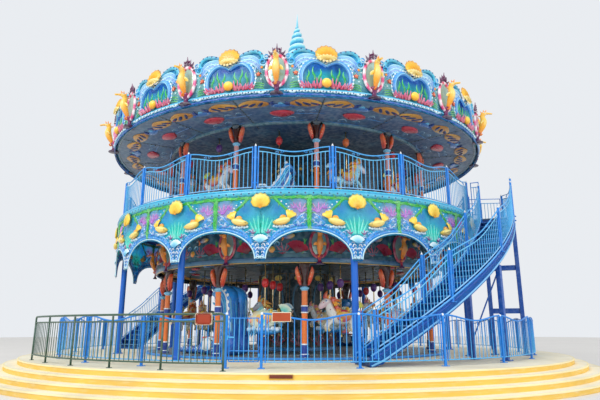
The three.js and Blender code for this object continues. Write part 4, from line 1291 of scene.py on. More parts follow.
# %% Landing
ANGLE_OF_LEGS = 69
deck_angles = (STAIR_HEAD + 0.03, RAIL_START)
landing = [
    slab((6.02, 7.2), deck_angles, level(GALLERY_TOP - 0.001), 0.03, "8FA6B4", "deck", 6),
    slab((6.02, 7.2), deck_angles, level(floor_low + 0.05), 0.01, UNDER, "matte", 6),
    plate(6.025, deck_angles, level(floor_low), level(GALLERY_TOP - 0.01), 0.012, 8),
    plate(7.21, deck_angles, level(floor_low), level(GALLERY_TOP), 0.015, 8),
    curved_rail(7.205, *deck_angles, level(floor_low + 0.015), 0.018, LINE_LIGHT, 8, 6),
    curved_rail(7.205, *deck_angles, level(GALLERY_TOP - 0.012), 0.014, LINE, 8, 6),
    square_leg(6.3, ANGLE_OF_LEGS, floor_low),
    square_leg(7.16, ANGLE_OF_LEGS, floor_low),
    crossbeam(ANGLE_OF_LEGS, 6.36, 7.1, 1.695, 1.845),
    crossbeam(ANGLE_OF_LEGS, 6.36, 7.1, 2.975, 3.125),
]
for angle in (STAIR_HEAD + 0.5, ANGLE_OF_LEGS, 72.5, 76.5, 80.5, RAIL_START - 0.5):
    landing.append(crossbeam(angle, 6.04, 7.19, floor_low + 0.002, floor_low + 0.06))

# %% Trestle halfway up
TRESTLE = 46
trestle_head = nosing(TRESTLE - 0.55) - BELOW - 0.006
brace = [at(6.33, TRESTLE, PLINTH_TOP + 0.5), at(7.13, TRESTLE, trestle_head - 0.18)]
trestle = [
    square_leg(6.3, TRESTLE, trestle_head),
    square_leg(7.16, TRESTLE, trestle_head),
    crossbeam(TRESTLE, 6.36, 7.1, trestle_head - 0.15, trestle_head),
    bars([brace], 0.02, FLANGE, 8),
]


# %% Railings of the stair and the landing
def stair_top(angle):
    """Handrail: lower over the foot, with a dip in each panel."""
    panel = 0 if angle < STAIR_POSTS[1] else 1 if angle < STAIR_POSTS[2] else 2
    start, end = STAIR_POSTS[panel : panel + 2]
    lift = min(1, max(0, (angle - STAIR_POSTS[0]) / (STAIR_POSTS[1] - STAIR_POSTS[0])))
    return nosing(angle) + 0.85 + 0.2 * lift - 0.11 * math.sin(math.pi * (angle - start) / (end - start)) ** 2


def stair_railing(radius, count):
    """Three framed panels and four posts that stand on the treads."""
    made = []
    for start, end in zip(STAIR_POSTS, STAIR_POSTS[1:]):
        made.append(framed_panel(radius, start, end, stair_top, along(0.11), count))
    for angle, tread in zip(STAIR_POSTS, POST_TREADS):
        foot = PLINTH_TOP + (tread + 1) * STEP_UP
        post = capped_post(stair_top(angle) + 0.06 - foot, 0.028, "spike")
        made.append(post.moved(standing(radius, angle, foot)))
    return joined(made)


def straight_panel(angle, inner, outer, low, high, count):
    """A flat panel along a radius, between two heights."""
    under = high - 0.15
    corners = [at(inner, angle, low), at(inner, angle, high), at(outer, angle, high), at(outer, angle, low)]
    radii = np.linspace(inner, outer, count + 2)[1:-1]
    return joined([
        bars([corners], 0.018, BLUE, 8, closed=True),
        bars([[at(inner, angle, under), at(outer, angle, under)]], 0.013, "58B4F4"),
        bars([[at(r, angle, low), at(r, angle, under)] for r in radii], BAR, PALE_BLUE),
    ])


inner_railing = [
    stair_railing(STAIR_INNER + 0.03, 16),
    straight_panel(STAIR_POSTS[3], 6.04, 6.27, GALLERY_TOP + 0.12, GALLERY_TOP + 1.14, 2),
]
landing_posts = (STAIR_HEAD + 0.6, RAIL_START - 0.4)
landing_wave = dipping(*landing_posts, GALLERY_TOP + 1.18, 0.15)
landing_post = capped_post(1.2, 0.028, "spike")
landing_railing = [
    framed_panel(7.19, *landing_posts, landing_wave, RAIL_FOOT, 21),
    landing_post.moved(*[standing(7.19, a, GALLERY_TOP) for a in landing_posts]),
    straight_panel(landing_posts[1], 6.06, 7.13, GALLERY_TOP + 0.1, GALLERY_TOP + 1.1, 9),
    landing_post.moved(standing(6.07, landing_posts[1], GALLERY_TOP)),
]

# %% Both stairs
stair_parts = {
    "flight": (flight, "blue_steel"),
    "landing": (landing, "blue_steel"),
    "trestle": (trestle, "deep_blue_steel"),
    "outer_rail": ([stair_railing(STAIR_OUTER - 0.03, 19)], "blue_steel"),
    "inner_rail": (inner_railing, "blue_steel"),
    "landing_rail": (landing_railing, "blue_steel"),
}
for side, place in (("right", SAME), ("back", turn(263.72) @ MIRROR)):
    for part, (shapes, slot) in stair_parts.items():
        shape = joined(shapes).moved(place)
        piece(f"{side}_{part}_detail", "base", [shape], [f"{side}_stair_{part}"], slot)

# %% [markdown]
# ## Boards of the canopy
# The canopy's drum has sixteen bays too, each the mirror of itself about its shell. Half a bay goes from the
# middle of an oval mirror to the middle of the next shell: a scrolled crest, a lobed blue frame with seaweed
# in it, a coral clump, leaves and a starfish. It is made on the bench, mirrored and bent round the drum.

# %% Measures of the canopy
FIRST_SEAHORSE = -4.6
CANOPY_RING = 6.34
CANOPY_HALF = CANOPY_RING * math.radians(BAY / 2)
BOARD_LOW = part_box("canopy_board")[0].z


def crest_height(x):
    """Top edge of the canopy's sheet between a mirror at 0 and a shell at CANOPY_HALF."""
    xs = (0.0, 0.15, 0.3, 0.42, 0.57, 0.72, 0.9, 1.08, CANOPY_HALF)
    zs = (7.84, 7.86, 7.95, 8.08, 8.13, 8.10, 8.04, 7.92, 7.86)
    return float(np.interp(x, xs, zs))


# %% Sheet of half the drum
def canopy_rule(u, v):
    bays = (u + 1) * 8
    within = abs((bays + 0.5) % 1 - 0.5) * 2 * CANOPY_HALF
    return (bays * 2 * CANOPY_HALF, 0.0, BOARD_LOW + (crest_height(within) - BOARD_LOW) * (v + 1) / 2)


canopy_sheet = pulled(20 * 16, 10, canopy_rule, wall=0.05)
canopy_sheet.fade("z", "2E9AD8", "37B0D8", "43B8D0", "3FB6DC", "36B4EC")
# The first cloud, pale teal at x 0.4 and z 7.5, is partly the board's own lighter teal and partly painted
# light against the shade under the crest.
clouded(canopy_sheet, CANOPY_HALF, (
    ("A2E4E6", 0.4, 7.5, 0.26, 0.34, 1.5), ("1A74D8", CANOPY_HALF, 7.62, 0.4, 0.2, 1.8),
    ("34D2DC", CANOPY_HALF, 7.36, 0.5, 0.22, 1.35),
))

# %% Border of scallops, coral clumps and leaves
BORDER_TOP = BOARD_LOW + 0.13


def zigzag(low, rise, paint, flat):
    """A wavy line along the board."""
    return stroke([(k * CANOPY_HALF / 6, low + rise * (k % 2)) for k in range(7)], 0.026, paint, flat)


lobes = []
middles = (0.24, 0.39, 0.56, 0.71, 0.86, 1.01, 1.16)
for middle, reach in zip(middles, (0.06, 0.1) + (0.075,) * 5):
    half = [(reach * math.cos(a), -0.8 * reach * math.sin(a)) for a in np.linspace(0, math.pi, 8)]
    lobe = puffed(half, 0.05, reach * 0.3).fade("z", "7CCDF2", "F2FDFF", "D6F6FA")
    lobes.append(lobe.moved(shift(middle, 0, BORDER_TOP)))
spike = tubes([[(0, 0, 0), (0.02, -0.05, 0.08), (0.0, -0.08, 0.17)]], [[0.032, 0.022, 0.005]], turns=1)
spike.fade("z", "A8123C", "D81E5A", "E8286E", "FF8FBE")
places = []
for k, share in enumerate(np.linspace(0, 1, 15)):
    tall = 0.6 + 0.55 * share + 0.25 * math.sin(9.0 * share)
    foot = shift(0.62 + 0.5 * share, 0, 7.12 + 0.03 * math.sin(k * 2.4))
    places.append(foot @ turn(-42 + 50 * share + 14 * math.sin(k * 1.7), "Y") @ size(1, 1, tall))
coral = [spike.moved(*places)]
coral.append(stroke([(0.6, 7.13), (0.8, 7.16), (1.12, 7.2)], [0.02, 0.045, 0.05], "B8184A", 0.8))
leaf = stroke([(0.6, 0.02), (0.46, 0.055), (0.32, -0.01)], [0.018, 0.032, 0.006], flat=0.7, turns=3)
leaf.fade("x", "86E25A", "189A5A", "0B5A48")
border = [
    dots([(x, BORDER_TOP - 0.03) for x in middles], 0.02, NAVY, 0.05),
    zigzag(BORDER_TOP + 0.02, 0.015, "55C8F2", 0.7),
    zigzag(BOARD_LOW + 0.018, 0.02, "1C5CB8", 0.8),
]

# %% Lobed frame with its seaweed
frame_line = [(0.7, 7.14), (0.63, 7.26), (0.61, 7.42), (0.64, 7.58), (0.72, 7.72), (0.85, 7.82), (0.99, 7.84)]
frame_line += [(1.12, 7.79), (CANOPY_HALF, 7.70)]
frame_thick = [0.03, 0.05, 0.056, 0.058, 0.058, 0.056, 0.052, 0.046, 0.04]
# Pale blue on the frame's proudest part is a painted highlight.
lobed_frame = stroke(frame_line, frame_thick).fade("z", "1550B8", "1C62D0", "2C86EE").crest("5CC0FA", 0.6)
outward = np.linspace(-0.3, 1.7, 9)
outer_edge = np.array(frame_line) + 0.075 * np.stack([-np.cos(outward), np.sin(outward)], axis=1)
# A pale line along the frame, a little in front of it, is a painted highlight.
frame_highlight_line = stroke([(x + 0.02, z - 0.01) for x, z in frame_line[1:]], 0.012, "8FD8FF")
frame_parts = [
    stroke(outer_edge, 0.024, "8FE0F5", 0.7),
    dots(sampled(outer_edge, np.linspace(0, 1, 15)), 0.026, FOAM, 0.015),
    frame_highlight_line.moved(shift(0, -0.05, 0)),
]
blades = []
for x, z, tall, lean in ((0.78, 7.26, 0.34, 0.05), (0.93, 7.27, 0.42, -0.06), (1.08, 7.25, 0.38, 0.06)):
    path = [(x, z), (x - lean, z + 0.3 * tall), (x + lean, z + 0.65 * tall), (x + 0.3 * lean, z + tall)]
    blades.append(stroke(path, [0.02, 0.034, 0.03, 0.006], flat=0.6).fade("z", "0B7A3C", LEAF, "58E070"))

# %% Scrolled crest: waves that sweep up from the shell and curl over at the outer side
crest = []
sweep = np.array([(1.14, 7.93), (0.98, 8.0), (0.8, 8.03), (0.62, 8.02), (0.48, 7.93), (0.4, 7.8)])
sinking = np.array([0.3, 1, 1, 1.1, 1.4, 1.2])
for k, shade in enumerate(("62D8F4", "2AA8EE", "8DEBF8", "1F8AE4", "6FE0F2")):
    path = np.stack([sweep[:, 0], sweep[:, 1] - 0.048 * k * sinking], axis=1)
    path[0, 0] -= 0.01 * k
    wave = stroke(path, [0.012, 0.03, 0.036, 0.036, 0.03, 0.01], flat=0.9)
    # The white along each wave's proudest line is a painted highlight.
    crest.append(wave.fade("z", "1C74D8", shade).crest(FOAM, 0.35, 3))
ridge = [
    (1.1, 7.95), (0.95, 8.06), (0.75, 8.13), (0.57, 8.15), (0.42, 8.08), (0.36, 7.96), (0.42, 7.88),
    (0.5, 7.92),
]
ridge = stroke(ridge, [0.02, 0.045, 0.055, 0.055, 0.05, 0.042, 0.03, 0.014], turns=3)
crest.append(ridge.fade("x", "2FC0E4", "4FA8C4", "24A6E8"))
crest.append(dots(
    [(1.0, 8.04), (0.87, 8.1), (0.74, 8.14), (0.61, 8.16), (0.49, 8.13), (0.39, 8.05)], 0.022, NAVY, 0.05,
))
big_curl = curl(0.13, 1.4, 0.2, (SEA, SEA_BRIGHT, "BDF2FC"), 1.0, 6)
crest.append(big_curl.moved(leaning(0.36, 7.83, 200, y=-0.02), leaning(0.27, 7.98, 120, 0.7, -0.01)))
crest.append(curl(0.07, 1.1, 0.22).moved(*[leaning(x, z, angle, y=-0.02) for x, z, angle in (
    (0.56, 7.78, 30), (0.7, 7.9, 10), (1.06, 7.88, -20), (0.2, 7.75, 160), (0.5, 7.66, 60),
)]))
bubbles = [(0.33, 7.62), (0.53, 7.4), (0.4, 7.36), (0.85, 7.93), (0.95, 7.91), (0.62, 7.9), (0.3, 7.45)]
bubbles.append((1, 8))
bubbles = dots(bubbles, 0.02, "E8FCFF", 0.02)

# %% Starfish, dot and the whole half bay
arms = []
for k in range(10):
    reach = 0.034 if k % 2 else 0.078
    angle = math.pi / 2 + math.tau * k / 10
    arms.append((reach * math.cos(angle), reach * math.sin(angle)))
# Pale orange on the starfish's proudest part is a painted highlight.
starfish = relief(arms, 0.05, 0.012, steps=2).fade("z", "C81E2E", "F0482E").crest("FF9A6A", 0.6)
half_canopy = joined(
    lobes + coral + [leaf.moved(*[shift(0, 0, 7.11 + 0.062 * k) for k in range(3)])] + blades + crest + border
    + [lobed_frame] + frame_parts + [bubbles]
    + [starfish.moved(shift(0.47, 0, 7.5)), dots([(0.39, 7.69)], 0.036, "FF9A32", 0.01)]
)
print("half a canopy bay:", half_canopy.triangles(), "triangles")

# %% Shell and gold ball in the middle of a bay
shell_paints = ("E07F12", "F7A51E", "FFC53A", "F2A21E")
shell = scallop(0.48, 0.44, 11, 0.11, shell_paints, wall=0.02).moved(turn(-8, "X"))
lip = scallop(0.44, 0.16, 11, 0.13, ("F9C440", "FFE27A", "FFF0B0"), wall=0.02)
shell_pearls = [(-0.16, 0.0), (-0.08, -0.035), (0.0, -0.05), (0.08, -0.035), (0.16, 0.0)]
shell = joined([shell, lip, dots(shell_pearls, 0.035, "FFE9A6", 0.1)])
gold_ball = ball(0.125, around=16, up=10).moved(size(1, 0.7, 1)).fade("z", "F59A14", "FFD437", "FFEB7A")
canopy_middle = joined([shell.moved(shift(0, -0.06, 7.82)), gold_ball.moved(shift(0, -0.06, 7.23))])

# %% [markdown]
# ## Sea-horse and mirror
# In front of each joint between bays stands a gold sea-horse before an oval mirror with a striped frame, on a
# trumpet-shaped foot and under a coral crown. The sea-horse is one tube whose radius swells at the belly and
# the head, with ridges along it; its snout, fins and spines are added, because it is seen from every side.

# %% Oval mirror, foot and crown
MIRROR_WIDE, MIRROR_TALL, MIRROR_HEIGHT = 0.262, 0.43, 7.56
angles = np.linspace(0, math.tau, 32, endpoint=False)
oval = [(MIRROR_WIDE * math.cos(a), 0.0, MIRROR_HEIGHT + MIRROR_TALL * math.sin(a)) for a in angles]
oval_frame = tubes([oval], [0.045], sides=8, turns=1, closed=True)
x, y, z = oval_frame.points.T
around = np.arctan2((z - MIRROR_HEIGHT) / MIRROR_TALL, x / MIRROR_WIDE)
oval_frame.paint = blended(0.5 + 0.5 * np.sin(around), ("E02A78", "F45C9C", "E8386A"))
oval_frame.tip("FFF0F6", (np.sin(around * 9) - 0.1) * 2.5)
# The glass is painted grey-green: a painted reflection.
glass = egg((0, 0.01, MIRROR_HEIGHT), (0.25, 0.03, 0.415), "A9C9BE", 20, finish="mirror")
back_rim = egg((0, 0.035, MIRROR_HEIGHT), (0.285, 0.035, 0.455), "7A1C5A", 20, 6)
trumpet = [(0.0, 6.91), (0.17, 6.915), (0.165, 6.94), (0.09, 6.98), (0.055, 7.04), (0.06, 7.1), (0.1, 7.17)]
oval_foot = turned(trumpet + [(0.12, 7.22), (0, 7.24)], 16, smooth=True)
oval_foot.fade("z", "3C0E40", "6A1C5A", "8C1E4A")
stems = ((0.0, 0.34), (-0.1, 0.23), (0.1, 0.23), (-0.19, 0.14), (0.19, 0.14))
crown = tubes(
    [
        [(x * 0.5, 0, 7.96), (x, -0.02, 7.96 + 0.6 * tall), (x * 1.15, -0.03, 7.96 + tall)]
        for x, tall in stems
    ],
    [[0.035, 0.03, 0.006]] * 5, turns=2,
)
berry_places = [shift(x, -0.03, z) for x, z in (
    (0, 8.07), (-0.07, 8.07), (0.07, 8.07), (-0.13, 8.02), (0.13, 8.02), (-0.19, 7.94), (0.19, 7.94),
    (-0.06, 8.14),
    (0.06, 8.14), (0.0, 8.17), (-0.24, 7.84), (0.24, 7.84),
)]
crown = joined([crown, ball(0.034, around=6, up=4).moved(*berry_places)])
crown.fade("z", "3A0A38", "5C164C", "742A5C")

# %% The sea-horse
spine = [
    (0.03, -0.10, 7.26), (-0.02, -0.16, 7.19), (-0.05, -0.12, 7.14), (0.0, -0.07, 7.2), (0.0, -0.1, 7.3),
    (0.0, -0.15, 7.42), (0.0, -0.20, 7.56), (0.0, -0.23, 7.70), (0.0, -0.22, 7.83), (0.0, -0.20, 7.93),
    (0.0, -0.24, 8.02), (0.0, -0.33, 8.04),
]
girth = [0.012, 0.02, 0.028, 0.036, 0.06, 0.085, 0.105, 0.108, 0.085, 0.07, 0.085, 0.07]
fine = sampled([(*point, thick) for point, thick in zip(spine, girth)], np.linspace(0, 1, 34))
ridges = 1 + 0.2 * np.cos(np.arange(34) * math.pi)
horse_body = tubes([fine[:, :3]], [fine[:, 3] * ridges], sides=10, turns=1)
horse_body.fade("z", "F07A1A", "FFB226", "FFC83C", "FFB020")
# Pale yellow on the outward side of the body is a painted highlight.
horse_body.tip("FFE68A", (-horse_body.points[:, 1] - 0.24) * 9)
snout = [(0, -0.33, 8.03), (0, -0.43, 8.0), (0, -0.50, 7.97)]
spines = [
    [(0, -0.2, 8.06), (0, -0.16, 8.16)],
    [(0, -0.26, 8.09), (0, -0.25, 8.2)],
    [(0, -0.31, 8.1), (0, -0.34, 8.18)],
    [(0, -0.13, 7.95), (0, -0.06, 8.0)],
]
side_fin = fan(0.12, 45, 4, 0.02, ("F28A1E", "FFCF46", "FFEE9A"), wall=0.012)
fin_places = [shift(0.09 * s, -0.2, 7.6) @ turn(60 * s, "Y") @ turn(30 * s, "Z") for s in (1, -1)]
gold_horse = joined([
    horse_body,
    tubes([snout], [[0.05, 0.028, 0.034]], "FFC23C", sides=8, turns=2),
    tubes(spines, [[0.03, 0.005]] * 4, "FF9A26", turns=0),
    ball(0.026, FOAM, around=8, up=6).moved(*[shift(0.062 * s, -0.28, 8.06) for s in (1, -1)]),
    ball(0.014, NAVY, around=8, up=6).moved(*[shift(0.076 * s, -0.295, 8.065) for s in (1, -1)]),
    side_fin.moved(*fin_places),
])
HORSE_FOOT, HORSE_SHRINK = 7.13, 0.8
lowered = shift(0, 0, HORSE_FOOT) @ size(0.92, 1, HORSE_SHRINK) @ shift(0, 0, -HORSE_FOOT)
gold_horse = gold_horse.moved(lowered)
ornament = joined([oval_frame, glass, back_rim, oval_foot, crown, gold_horse])
print("one sea-horse and mirror:", ornament.triangles(), "triangles")

# %% Canopy boards in quarters, all riding on the upper turntable
for quarter in range(4):
    first = FIRST_SEAHORSE + quarter * 90
    shapes = [] if quarter % 2 else [wrapped(canopy_sheet, CANOPY_RING, first)]
    for angle in first + BAY * np.arange(4):
        shapes.append(wrapped(half_canopy, CANOPY_RING, angle))
        shapes.append(wrapped(half_canopy.moved(MIRROR), CANOPY_RING, angle + BAY))
        shapes.append(wrapped(canopy_middle, CANOPY_RING, angle + BAY / 2))
        shapes.append(ornament.moved(standing(CANOPY_RING + 0.04, angle)))
    piece(f"canopy_ornaments_{quarter + 1}", "upper_turntable", shapes, ["canopy_board"], "aqua_fibreglass")

# %% [markdown]
# ## Spire
# A turban shell on the roof's point. Its whorls are one fat tube that winds up a helix while both the helix
# and the tube get thinner, which is how such a shell grows; a plain cone inside closes the middle.

# %% Spire
spire_low, spire_high = levels("spire")
whorl_z = [10.62, 10.93, 11.27, 11.58, 11.86, 12.17, 12.43, 12.66, 12.86]
whorl_reach = [0.56, 0.49, 0.42, 0.37, 0.31, 0.25, 0.18, 0.11, 0.05]
whorl_thick = [0.17, 0.175, 0.17, 0.16, 0.15, 0.14, 0.12, 0.08, 0.03]
turns_up = np.linspace(0, 8, 8 * 18 + 1)
heights, reaches, thicks = (np.interp(turns_up, range(9), row) for row in (whorl_z, whorl_reach, whorl_thick))
inner_reaches = np.maximum(0.004, reaches - thicks * 0.75)
helix = [at(r, 360 * t, z) for r, t, z in zip(inner_reaches, turns_up, heights)]
whorls = tubes([helix], [thicks], sides=12, turns=1)
x, y, z = whorls.points.T
angle_share = (np.degrees(np.arctan2(x, -y)) % 360) / 360
within = (np.interp(z, whorl_z, range(9)) - angle_share + 0.5) % 1
# Across each whorl the paint runs from dark blue underneath to white near its top: painted shade and a
# painted highlight.
whorls.paint = blended(within, ("1B7FB8", "2FB4DE", "7FE0EE", "E8FBFD", "56C8E4"))
heart = [(0.0, 10.46), (0.5, 10.46), (0.54, 10.6), (0.3, 11.6), (0.12, 12.5), (0.035, 12.85), (0.0, 12.9)]
needle = [(0.0, 12.7), (0.06, 12.72), (0.04, 12.95), (0.012, 13.38), (0.0, spire_high)]
collar = [(0.0, spire_low), (0.56, spire_low), (0.6, 10.56), (0.585, 10.6), (0.3, 10.64), (0.0, 10.64)]
shapes = [whorls, turned(heart, 32, "2A9CC8", smooth=True)]
shapes.append(turned(needle, 16, smooth=True).fade("z", "3CB8DC", "BFF0F6"))
shapes.append(turned(collar, 48, "1E7FC0"))
piece("spire_shell", "upper_turntable", shapes, ["spire"], "pale_fibreglass")

# %% [markdown]
# ## Decks and columns
# The lower turntable carries a platform, twelve columns and a painted ceiling; the upper one a floor, twelve
# columns of its own and the canopy. Round things are turned profiles, one for each paint, because paints
# that meet at a sharp line share no points.

# %% Lower platform and upper floor
LOWER_START, UPPER_START, SECTOR = 2.5, 7.0, 30.0
DECK_LOW, LOWER_DECK = levels("lower_platform")
FLOOR_LOW, UPPER_DECK = levels("upper_floor")
DECK_PAINT, EDGE_PAINT, STRIP_PAINT = "5C6C76", "2F86DA", "D9E2E6"


def strips(length, reach, top, start):
    """Flat joint strips along the radii of a deck, on top of it."""
    return box(0.03, length, 0.006, 0.002, STRIP_PAINT).moved(*ring(reach, start, 24, top - 0.002))


deep = DECK_LOW - LOWER_DECK
rim = [(4.86, deep), (4.9, deep + 0.004), (4.9, -0.006), (4.894, 0), (4.84, 0)]
under = [(1.33, 0), (1.19, 0), (1.19, deep), (4.86, deep)]
ring_strip = [(3.62, 0), (3.62, 0.004), (3.58, 0.004), (3.58, 0)]
shapes = [
    turned(rim, 120, EDGE_PAINT, "steel", lift=LOWER_DECK),
    turned([(4.84, 0), (1.33, 0)], 120, DECK_PAINT, "deck", lift=LOWER_DECK),
    turned(under, 96, "3A4C5C", "steel", lift=LOWER_DECK),
    strips(3.5, 3.08, LOWER_DECK, LOWER_START),
    turned(ring_strip, 96, STRIP_PAINT, "steel", lift=LOWER_DECK),
]
piece("lower_deck", "lower_turntable", shapes, ["lower_platform"], "deck_steel")
deep = FLOOR_LOW - UPPER_DECK
rim = [(4.72, deep), (4.76, deep + 0.004), (4.76, -0.005), (4.755, 0), (4.7, 0)]
shapes = [
    turned(rim, 120, EDGE_PAINT, "steel", lift=UPPER_DECK),
    turned([(4.7, 0), (0, 0)], 120, DECK_PAINT, "deck", lift=UPPER_DECK),
    turned([(0, 0), (4.72, 0)], 96, "20424E", "matte", lift=FLOOR_LOW),
    strips(3.7, 2.8, UPPER_DECK, UPPER_START),
]
piece("upper_deck", "upper_turntable", shapes, ["upper_floor"], "deck_steel")

# %% [markdown]
# ## Columns
# A column is orange, with a dark blue ring between white ones at half its height and a pale collar. Its
# capital is a dark leaf between two coral-red horns that flare outwards, like the claws of a lobster.

# %% One column
COLUMN_BLUE = "1B3E9A"
COLUMN_ORANGE = "F27A32"


def capital(foot, tall, leaf_tall):
    """A dark leaf with two horns, on the bench."""
    side = [(0.055, 0), (0.07, 0.4 * tall), (0.13, 0.95 * tall), (0.15, leaf_tall)]
    outline = [(-0.055, 0)] + side + [(-x, z) for x, z in side[:0:-1]]
    leaf = relief(outline, 0.17, 0.05, steps=2).moved(shift(0, 0.085, 0))
    leaf.fade("z", "2A0E0C", "4A1C12", "1E0A0A")
    path = [(0.1, 0, 0), (0.13, -0.03, 0.16 * tall), (0.165, -0.05, 0.5 * tall), (0.215, -0.04, 0.84 * tall)]
    horn = tubes([path + [(0.195, -0.02, tall)]], [[0.028, 0.05, 0.06, 0.052, 0.02]], sides=8, turns=2)
    horn.fade("z", "C2281C", "F0502A", "FF7A3A", "E83A22")
    knob_places = [shift(x, -0.095, z * tall) for x, z in ((0.13, 0.25), (0.152, 0.45), (0.178, 0.65))]
    knobs = ball(0.015, "FFC08A", around=6, up=4).moved(*knob_places)
    horns = joined([horn, knobs, horn.moved(shift(0, 0.05, 0))]).moved(SAME, MIRROR)
    return joined([leaf, horns]).moved(shift(0, 0, foot))


def ringed(low, high, radius, paint=FOAM):
    """A half-round ring on a column."""
    half = (high - low) / 2
    bulge = ((0, -1), (0.6, -0.7), (0.85, 0), (0.6, 0.7), (0, 1))
    return turned([(radius + x * half, z * half) for x, z in bulge], 16, paint, smooth=True, lift=low + half)


def shaft(radius, low, high, paint):
    """A straight length of a column."""
    return turned([(radius, low), (radius, high)], 16, paint, smooth=True)


def column(foot, waist, collar, capital_foot, capital_tall, head, radius, cap_radius, upper_paint):
    """A column from its base to the ceiling, at the origin. waist is the height of its blue ring."""
    base = [(0.05, 0), (0.05, 0.05), (0.02, 0.08), (0.012, 0.3), (0, 0.31)]
    cup = [(radius, -0.05), (radius + 0.02, -0.02), (radius + 0.045, 0), (radius + 0.045, 0.03), (0.06, 0.06)]
    cap = [(0.06, -0.12), (0.7 * cap_radius, -0.1), (0.95 * cap_radius, -0.05), (cap_radius, -0.02)]
    return joined([
        turned([(radius + r, z) for r, z in base], 16, COLUMN_BLUE, lift=foot),
        ringed(foot + 0.29, foot + 0.33, radius),
        ringed(foot + 0.05, foot + 0.085, radius + 0.02),
        shaft(radius, foot + 0.31, waist - 0.08, COLUMN_ORANGE),
        shaft(radius + 0.012, waist - 0.08, waist + 0.08, COLUMN_BLUE),
        ringed(waist - 0.1, waist - 0.065, radius + 0.008),
        ringed(waist + 0.065, waist + 0.1, radius + 0.008),
        shaft(radius, waist + 0.08, collar, upper_paint),
        turned(cup, 20, "7FC8EE", smooth=True, lift=collar),
        turned([(0.06, collar + 0.05), (0.055, head - 0.1)], 12, "4A1C14", smooth=True),
        ringed(collar + 0.035, collar + 0.065, 0.055, COLUMN_BLUE),
        turned(cap + [(cap_radius, 0), (0, 0)], 20, "41525E", smooth=True, lift=head),
        capital(capital_foot, capital_tall, head - 0.05 - capital_foot),
    ])


# %% Two rings of columns
lower_head = levels("lower_columns")[1]
upper_foot, upper_head = levels("upper_columns")
lower_column = column(LOWER_DECK, 1.75, 2.27, 2.37, 0.47, lower_head, 0.076, 0.11, COLUMN_ORANGE)
upper_column = column(upper_foot, 5.72, 6.4, 6.48, 0.44, upper_head, 0.068, 0.15, "E9A6A0")
for name, shape, reach, start, head, paint in (
    ("lower", lower_column, 4.58, LOWER_START, lower_head, "C89A3A"),
    ("upper", upper_column, 4.47, UPPER_START, upper_head, "5F8A98"),
):
    beam = [(reach + x, z) for x, z in ((-0.04, -0.06), (0.04, -0.06), (0.04, 0), (-0.04, 0), (-0.04, -0.06))]
    shapes = [shape.moved(*ring(reach, start, 12)), turned(beam, 96, paint, lift=head)]
    piece(f"{name}_columns_detail", f"{name}_turntable", shapes, [f"{name}_columns"], "orange_steel")

# %% [markdown]
# ## Inner board
# Between the decks a dark board turns with the upper floor. Before each of its twelve joints an orange
# sea-horse stands in a red oval, and between them are coral fans, weed and a small round sun on a dark sea.

# %% Sheet and moulding of the inner board
INNER_RING = 4.76
INNER_HALF = INNER_RING * math.radians(SECTOR / 2)
board_low, board_high = levels("inner_board")
tall = board_high - board_low
sheet = [(4.72, 0.13), (4.74, 0.13), (4.75, 0.17), (4.75, tall), (4.71, tall), (4.71, 0.13)]
moulding = [(4.71, 0), (4.74, 0), (4.77, 0.02), (4.78, 0.06), (4.76, 0.1), (4.772, 0.125), (4.76, 0.145)]
gold_line = [(4.745, -0.004), (4.765, 0.008), (4.75, 0.02)]
sheet = turned(sheet, 120, finish="mural", lift=board_low).fade("z", "124E5C", "0C3A4C", "103C4C")
moulding = turned(moulding + [(4.72, 0.15), (4.71, 0)], 120, smooth=True, lift=board_low)
moulding.fade("z", "24506E", "5A88A6", "3A6A8C", "2A5474")
inner_shapes = [sheet, moulding, turned(gold_line, 120, "D8A83A", smooth=True, lift=board_low)]

# %% Half a sector of coral, weed and fish
weed_tuft = []
for s in (-1, 0.4, 1.3):
    blade = [(0, 0), (0.05 * s, 0.14), (-0.03 * s, 0.28), (0.04 * s, 0.42)]
    leaf = stroke(blade, [0.02, 0.035, 0.03, 0.006], flat=0.6)
    weed_tuft.append(leaf.fade("z", "0B5A30", "1D9A48", "58C84A"))
fish_body = [(-0.15, 0), (-0.05, 0.07), (0.08, 0.05), (0.14, 0.0), (0.08, -0.05), (-0.05, -0.06)]
small_fish = joined([
    relief(fish_body, 0.07, 0.025).fade("x", "F5C23A", "2C70C8"),
    relief([(0.12, 0), (0.22, 0.08), (0.2, 0.0), (0.22, -0.08)], 0.04, 0.012, "F0803A", 2),
    dots([(-0.09, 0.02)], 0.014, FOAM, 0.05),
])
dark_swell = [(0.3, 3.2), (0.55, 3.24), (0.9, 3.2), (1.24, 3.24)]
small_curl = curl(0.09, 1.2, 0.2, ("1B4C9C", "3FA4D8", "BFE8F4"))
inner_half = joined([
    fan(0.34, 58, 8, 0.05, ("3A0A1C", "9C1A32", "D84454")).moved(leaning(0.6, 3.17, -16)),
    branching(0.3, 50, 5, 0.02, ("7A1030", "C8284A", "F0708A")).moved(leaning(0.92, 3.17, 14)),
    joined(weed_tuft).moved(leaning(0.44, 3.16, -12)),
    small_fish.moved(leaning(0.78, 3.62, 12, y=-0.005)),
    small_curl.moved(leaning(1.1, 3.42), leaning(0.5, 3.78, 0, 0.8)),
    stroke(dark_swell, [0.02, 0.04, 0.035, 0.02], "27687A", 0.5),
    dots([(0.36, 3.3), (0.68, 3.8), (0.95, 3.74), (1.08, 3.62)], 0.018, "BFE8F4"),
])
inner_sun = dots([(INNER_HALF, 3.28)], 0.085, "F5A32A").fade("z", "E07A1A", "FFC040")

